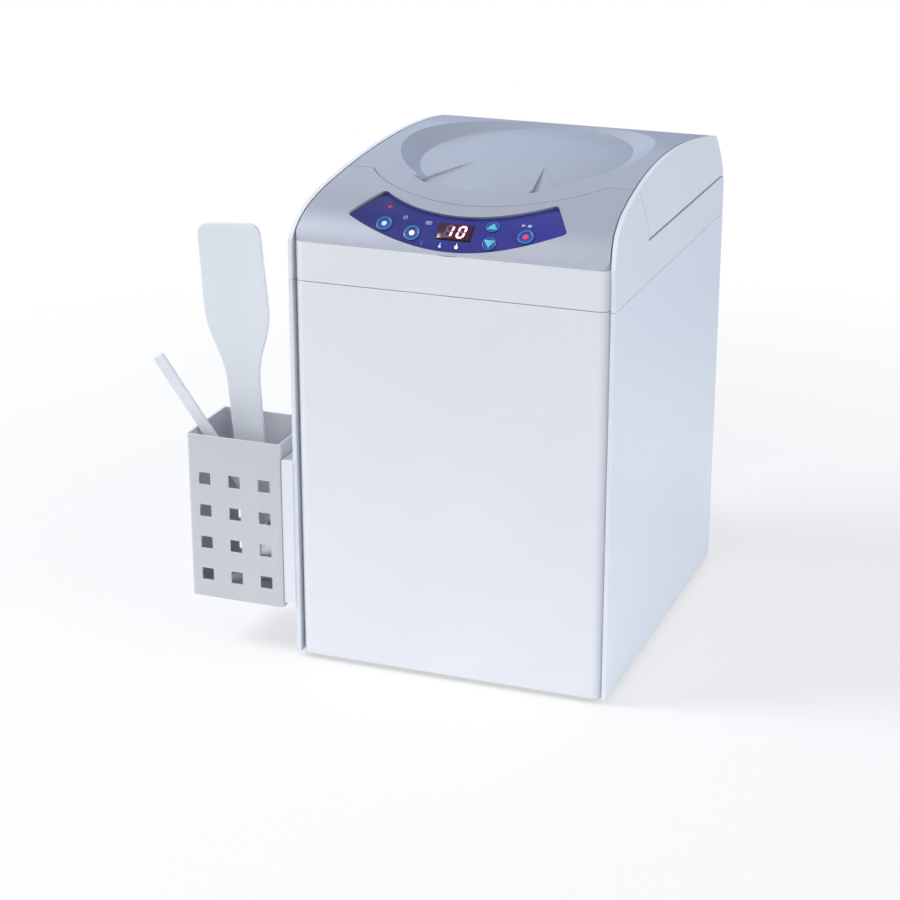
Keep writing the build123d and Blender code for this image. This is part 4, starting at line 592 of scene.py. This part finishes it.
# two slanted digits of seven segments each, on a flat window
DISPLAY_X, DISPLAY_W, SLANT = 1.0, 19.5, 0.16
DIGIT_W, DIGIT_H, STROKE = 6.4, 11.0, 1.7
LENS_DROP = 1.75
lens = shift(bar(25.0, 13.2, 1.1, 0.3), 0, 0, -1.1)
finish_piece(on_panel(lens, DISPLAY_X, DISPLAY_W, LENS_DROP), "display_lens", "housing",
             "display_red")
SEGMENTS = {"top": (0, 1, 0), "middle": (0, 0, 0), "bottom": (0, -1, 0),
            "upper_left": (-1, 0.5, 1), "lower_left": (-1, -0.5, 1),
            "upper_right": (1, 0.5, 1), "lower_right": (1, -0.5, 1)}
DIGITS = ((-4.6, "one", ("upper_right", "lower_right")),
          (5.0, "zero", ("top", "bottom", "upper_left", "lower_left", "upper_right",
                         "lower_right")))
for digit_x, digit, lit in DIGITS:
    for segment, (across, along, upright) in SEGMENTS.items():
        length = (DIGIT_H - STROKE) / 2 if upright else DIGIT_W - STROKE
        half, tip = length / 2 - 0.1, STROKE / 2
        stroke = plate([(-half, 0), (tip - half, -tip), (half - tip, -tip), (half, 0),
                        (half - tip, tip), (tip - half, tip)], 0.12 if segment in lit else 0.05)
        y = along * (DIGIT_H - STROKE) / 2
        x = digit_x + across * (DIGIT_W - STROKE) / 2 + SLANT * y
        stroke = shift(stroke, x, y, 0, 90 - math.degrees(SLANT) if upright else 0)
        finish_piece(on_panel(stroke, DISPLAY_X, DISPLAY_W, LENS_DROP),
                     digit + "_" + segment, "housing", "display_red",
                     LIT_DIGIT if segment in lit else UNLIT_DIGIT)

# small marks printed on the foil: three pins, whose inks carry a painted glow, and plain icons by
# the keys
for number, (x, light) in enumerate(((-22.0, RING_BLUE_PAINTED_GLOW), (-8.0, DOT_CYAN_PAINTED_GLOW), (4.5, DOT_CREAM_PAINTED_GLOW))):
    size = 0.7 + 0.3 * number
    pin = joined([disc(size, 0.3, 0.1, 24),
                  shift(bar(1.6 + size, 0.5, 0.2, 0.05), 0, 1.4, 0, 80)])
    finish_piece(on_panel(pin, x, 7.2 + 0.5 * abs(number - 1), FOIL_TOP + 0.05),
                 "pin_mark_%d" % (number + 1), "housing", "panel_blue", light)
LINE, LINE_STEP = 0.06, 1.2                 # an icon's edge rounding, and its lines' spacing
power_icon = joined([ring(1.7, 1.25, 0.25, LINE, 32),
                     shift(bar(1.8, 0.5, 0.35, LINE), 0, 1.3, 0, 90)])
menu_icon = joined([shift(bar(4.6, 0.55, 0.25, LINE), 0, step * LINE_STEP, 0)
                    for step in (-1, 0, 1)])
play = plate([(-3.6, -1.5), (-0.8, 0), (-3.6, 1.5)], 0.25)
stop_icon = joined([play, shift(bar(2.6, 2.6, 0.25, LINE), 2.2, 0, 0)])
for icon, name, x, w in ((power_icon, "power_icon", -40.0, 28.5),
                         (menu_icon, "menu_icon", -21.0, 25.4),
                         (stop_icon, "stop_icon", 51.5, 31.5)):
    finish_piece(on_panel(icon, x, w, FOIL_TOP + 0.03), name, "housing", "panel_blue",
                 PRINT_PALE)

# ------------------------------------------------------------------ rear face
REAR_FACE_Y = 151 * MM
SCREW_XS, SCREW_ZS = (-105.0, 0.0, 105.0), (20.0, 290.0)
CROSS_LONG, CROSS_WIDE = 3.4, 0.8
MARK_GAP, MARK_THICK, THIN_EDGE = 4 * MM, 0.15, 0.03
SCREW_HEAD_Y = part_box("panel_screws")[1][1]
# painted shade: each screw's cross recess is a thin black cross plate laid on its head, standing
# in for the shade in the hollow
for row, z in enumerate(SCREW_ZS):
    for column, x in enumerate(SCREW_XS):
        recess_shade = joined([bar(CROSS_LONG, CROSS_WIDE, 0.12, THIN_EDGE),
                        shift(bar(CROSS_LONG, CROSS_WIDE, 0.1, THIN_EDGE), turn=90)])
        recess_shade.rotation_euler = (math.radians(-90), math.radians(20 * row + 35 * column), 0)
        recess_shade.location = (x * MM, SCREW_HEAD_Y, z * MM)
        finish_piece(recess_shade, "screw_recess_shade_%d_%d" % (row, column), "housing", "black_plastic")
SWITCH_LOW, SWITCH_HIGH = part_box("switch_frame")
switch_x = (SWITCH_LOW[0] + SWITCH_HIGH[0]) / 2
for name, mark, z in (
        ("on_mark", bar(0.7, 3.4, MARK_THICK, THIN_EDGE), SWITCH_HIGH[2] + MARK_GAP),
        ("off_mark", ring(1.9, 1.3, MARK_THICK, THIN_EDGE), SWITCH_LOW[2] - MARK_GAP)):
    mark.rotation_euler = (math.radians(-90), 0, 0)
    mark.location = (switch_x, REAR_FACE_Y, z)
    finish_piece(mark, name, "housing", "black_plastic")

# ------------------------------------------------------------------ floor and light
FADE_START, FADE_END = 0.45, 1.0            # the floor fades out between these, in metres
CAMERA_WHITE = 0.55                         # how much white the camera sees over the floor
FLOOR_SIZE, FLOOR_Z = 60, -0.0002
bpy.ops.object.select_all(action="DESELECT")
bpy.ops.mesh.primitive_plane_add(size=FLOOR_SIZE, location=(0, 0, FLOOR_Z))
floor = bpy.context.object
floor.name = "studio_floor"
floor_finish = Finish("studio_floor", roughness=0.9, specular=0.1)
reach = floor_finish.node("ShaderNodeVectorMath", {"operation": "LENGTH"},
                          {0: floor_finish.place}, out="Value")
floor_finish.put(Base_Color=floor_finish.mix(floor_finish.noise(0.5), (0.90, 0.90, 0.90),
                                             (0.94, 0.94, 0.94)),
                 Alpha=1 - floor_finish.ramp(reach, FADE_START, FADE_END))
# the camera also sees white over the floor, so that its shadow is pale
white, lit, whose = (floor_finish.tree.nodes.new(kind) for kind in (
    "ShaderNodeEmission", "ShaderNodeMixShader", "ShaderNodeLightPath"))
paler = floor_finish.node("ShaderNodeMath", {"operation": "MULTIPLY"},
                          {0: Wire(floor_finish, whose.outputs["Is Camera Ray"]), 1: CAMERA_WHITE})
clear = floor_finish.node("ShaderNodeBsdfTransparent")
faded = floor_finish.node("ShaderNodeMixShader", inputs={
    0: 1 - floor_finish.ramp(reach, FADE_START, FADE_END), 1: clear,
    2: Wire(floor_finish, white.outputs[0])})
floor_finish.feed(lit.inputs[0], paler)
floor_finish.feed(lit.inputs[1], Wire(floor_finish, floor_finish.shader.outputs["BSDF"]))
floor_finish.feed(lit.inputs[2], faded)
floor_finish.feed(floor_finish.tree.nodes["Material Output"].inputs["Surface"],
                  Wire(floor_finish, lit.outputs[0]))
floor.data.materials.append(floor_finish.material)
floor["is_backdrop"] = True

world = bpy.data.worlds.new("studio")
bpy.context.scene.world = world
world.use_nodes = True
sky = world.node_tree
sky.nodes.clear()
surface = sky.nodes.new("ShaderNodeOutputWorld")
plain, seen = sky.nodes.new("ShaderNodeBackground"), sky.nodes.new("ShaderNodeBackground")
blend, path = sky.nodes.new("ShaderNodeMixShader"), sky.nodes.new("ShaderNodeLightPath")
heading = sky.nodes.new("ShaderNodeTexCoord")
split = sky.nodes.new("ShaderNodeSeparateXYZ")
behind = sky.nodes.new("ShaderNodeMapRange")
tint = sky.nodes.new("ShaderNodeMix")
tint.data_type = "RGBA"
sky.links.new(heading.outputs["Generated"], split.inputs[0])
sky.links.new(split.outputs["Y"], behind.inputs["Value"])
behind.inputs["From Min"].default_value, behind.inputs["From Max"].default_value = 0.1, 1.0
sky.links.new(behind.outputs[0], tint.inputs["Factor"])
tint.inputs[6].default_value = (0.94, 0.965, 1.0, 1.0)
tint.inputs[7].default_value = (0.56, 0.70, 1.0, 1.0)
sky.links.new(tint.outputs[2], plain.inputs["Color"])
plain.inputs["Strength"].default_value = 0.5
seen.inputs["Color"].default_value = (1.0, 1.0, 1.0, 1.0)
seen.inputs["Strength"].default_value = 1.0
sky.links.new(path.outputs["Is Camera Ray"], blend.inputs["Fac"])
sky.links.new(plain.outputs[0], blend.inputs[1])
sky.links.new(seen.outputs[0], blend.inputs[2])
sky.links.new(blend.outputs[0], surface.inputs["Surface"])


def soft_lamp(name, place, aim, size, power, colour=(1.0, 1.0, 1.0)):
    data = bpy.data.lights.new(name, "AREA")
    data.shape, data.size, data.energy, data.color = "DISK", size, power, colour
    lamp = bpy.data.objects.new(name, data)
    bpy.context.scene.collection.objects.link(lamp)
    lamp.location = place
    lamp.rotation_euler = (Vector(aim) - Vector(place)).to_track_quat("-Z", "Y").to_euler()


soft_lamp("key_lamp", (-2.3, -0.9, 2.3), (0, 0, 0.25), 1.3, 60)
soft_lamp("back_lamp", (-1.6, 2.6, 1.4), (0, 0, 0.35), 2.2, 7, (0.82, 0.90, 1.0))
soft_lamp("front_lamp", (0.3, -3.2, 0.9), (0, 0, 0.2), 1.6, 16)
soft_lamp("right_lamp", (3.0, -0.5, 1.0), (0, 0, 0.2), 1.8, 36, (0.95, 0.975, 1.0))
bpy.context.scene.view_settings.view_transform = "Standard"

size = {"cad": [list(CAD_LOW), list(CAD_HIGH)], "visual": [list(v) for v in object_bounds()]}
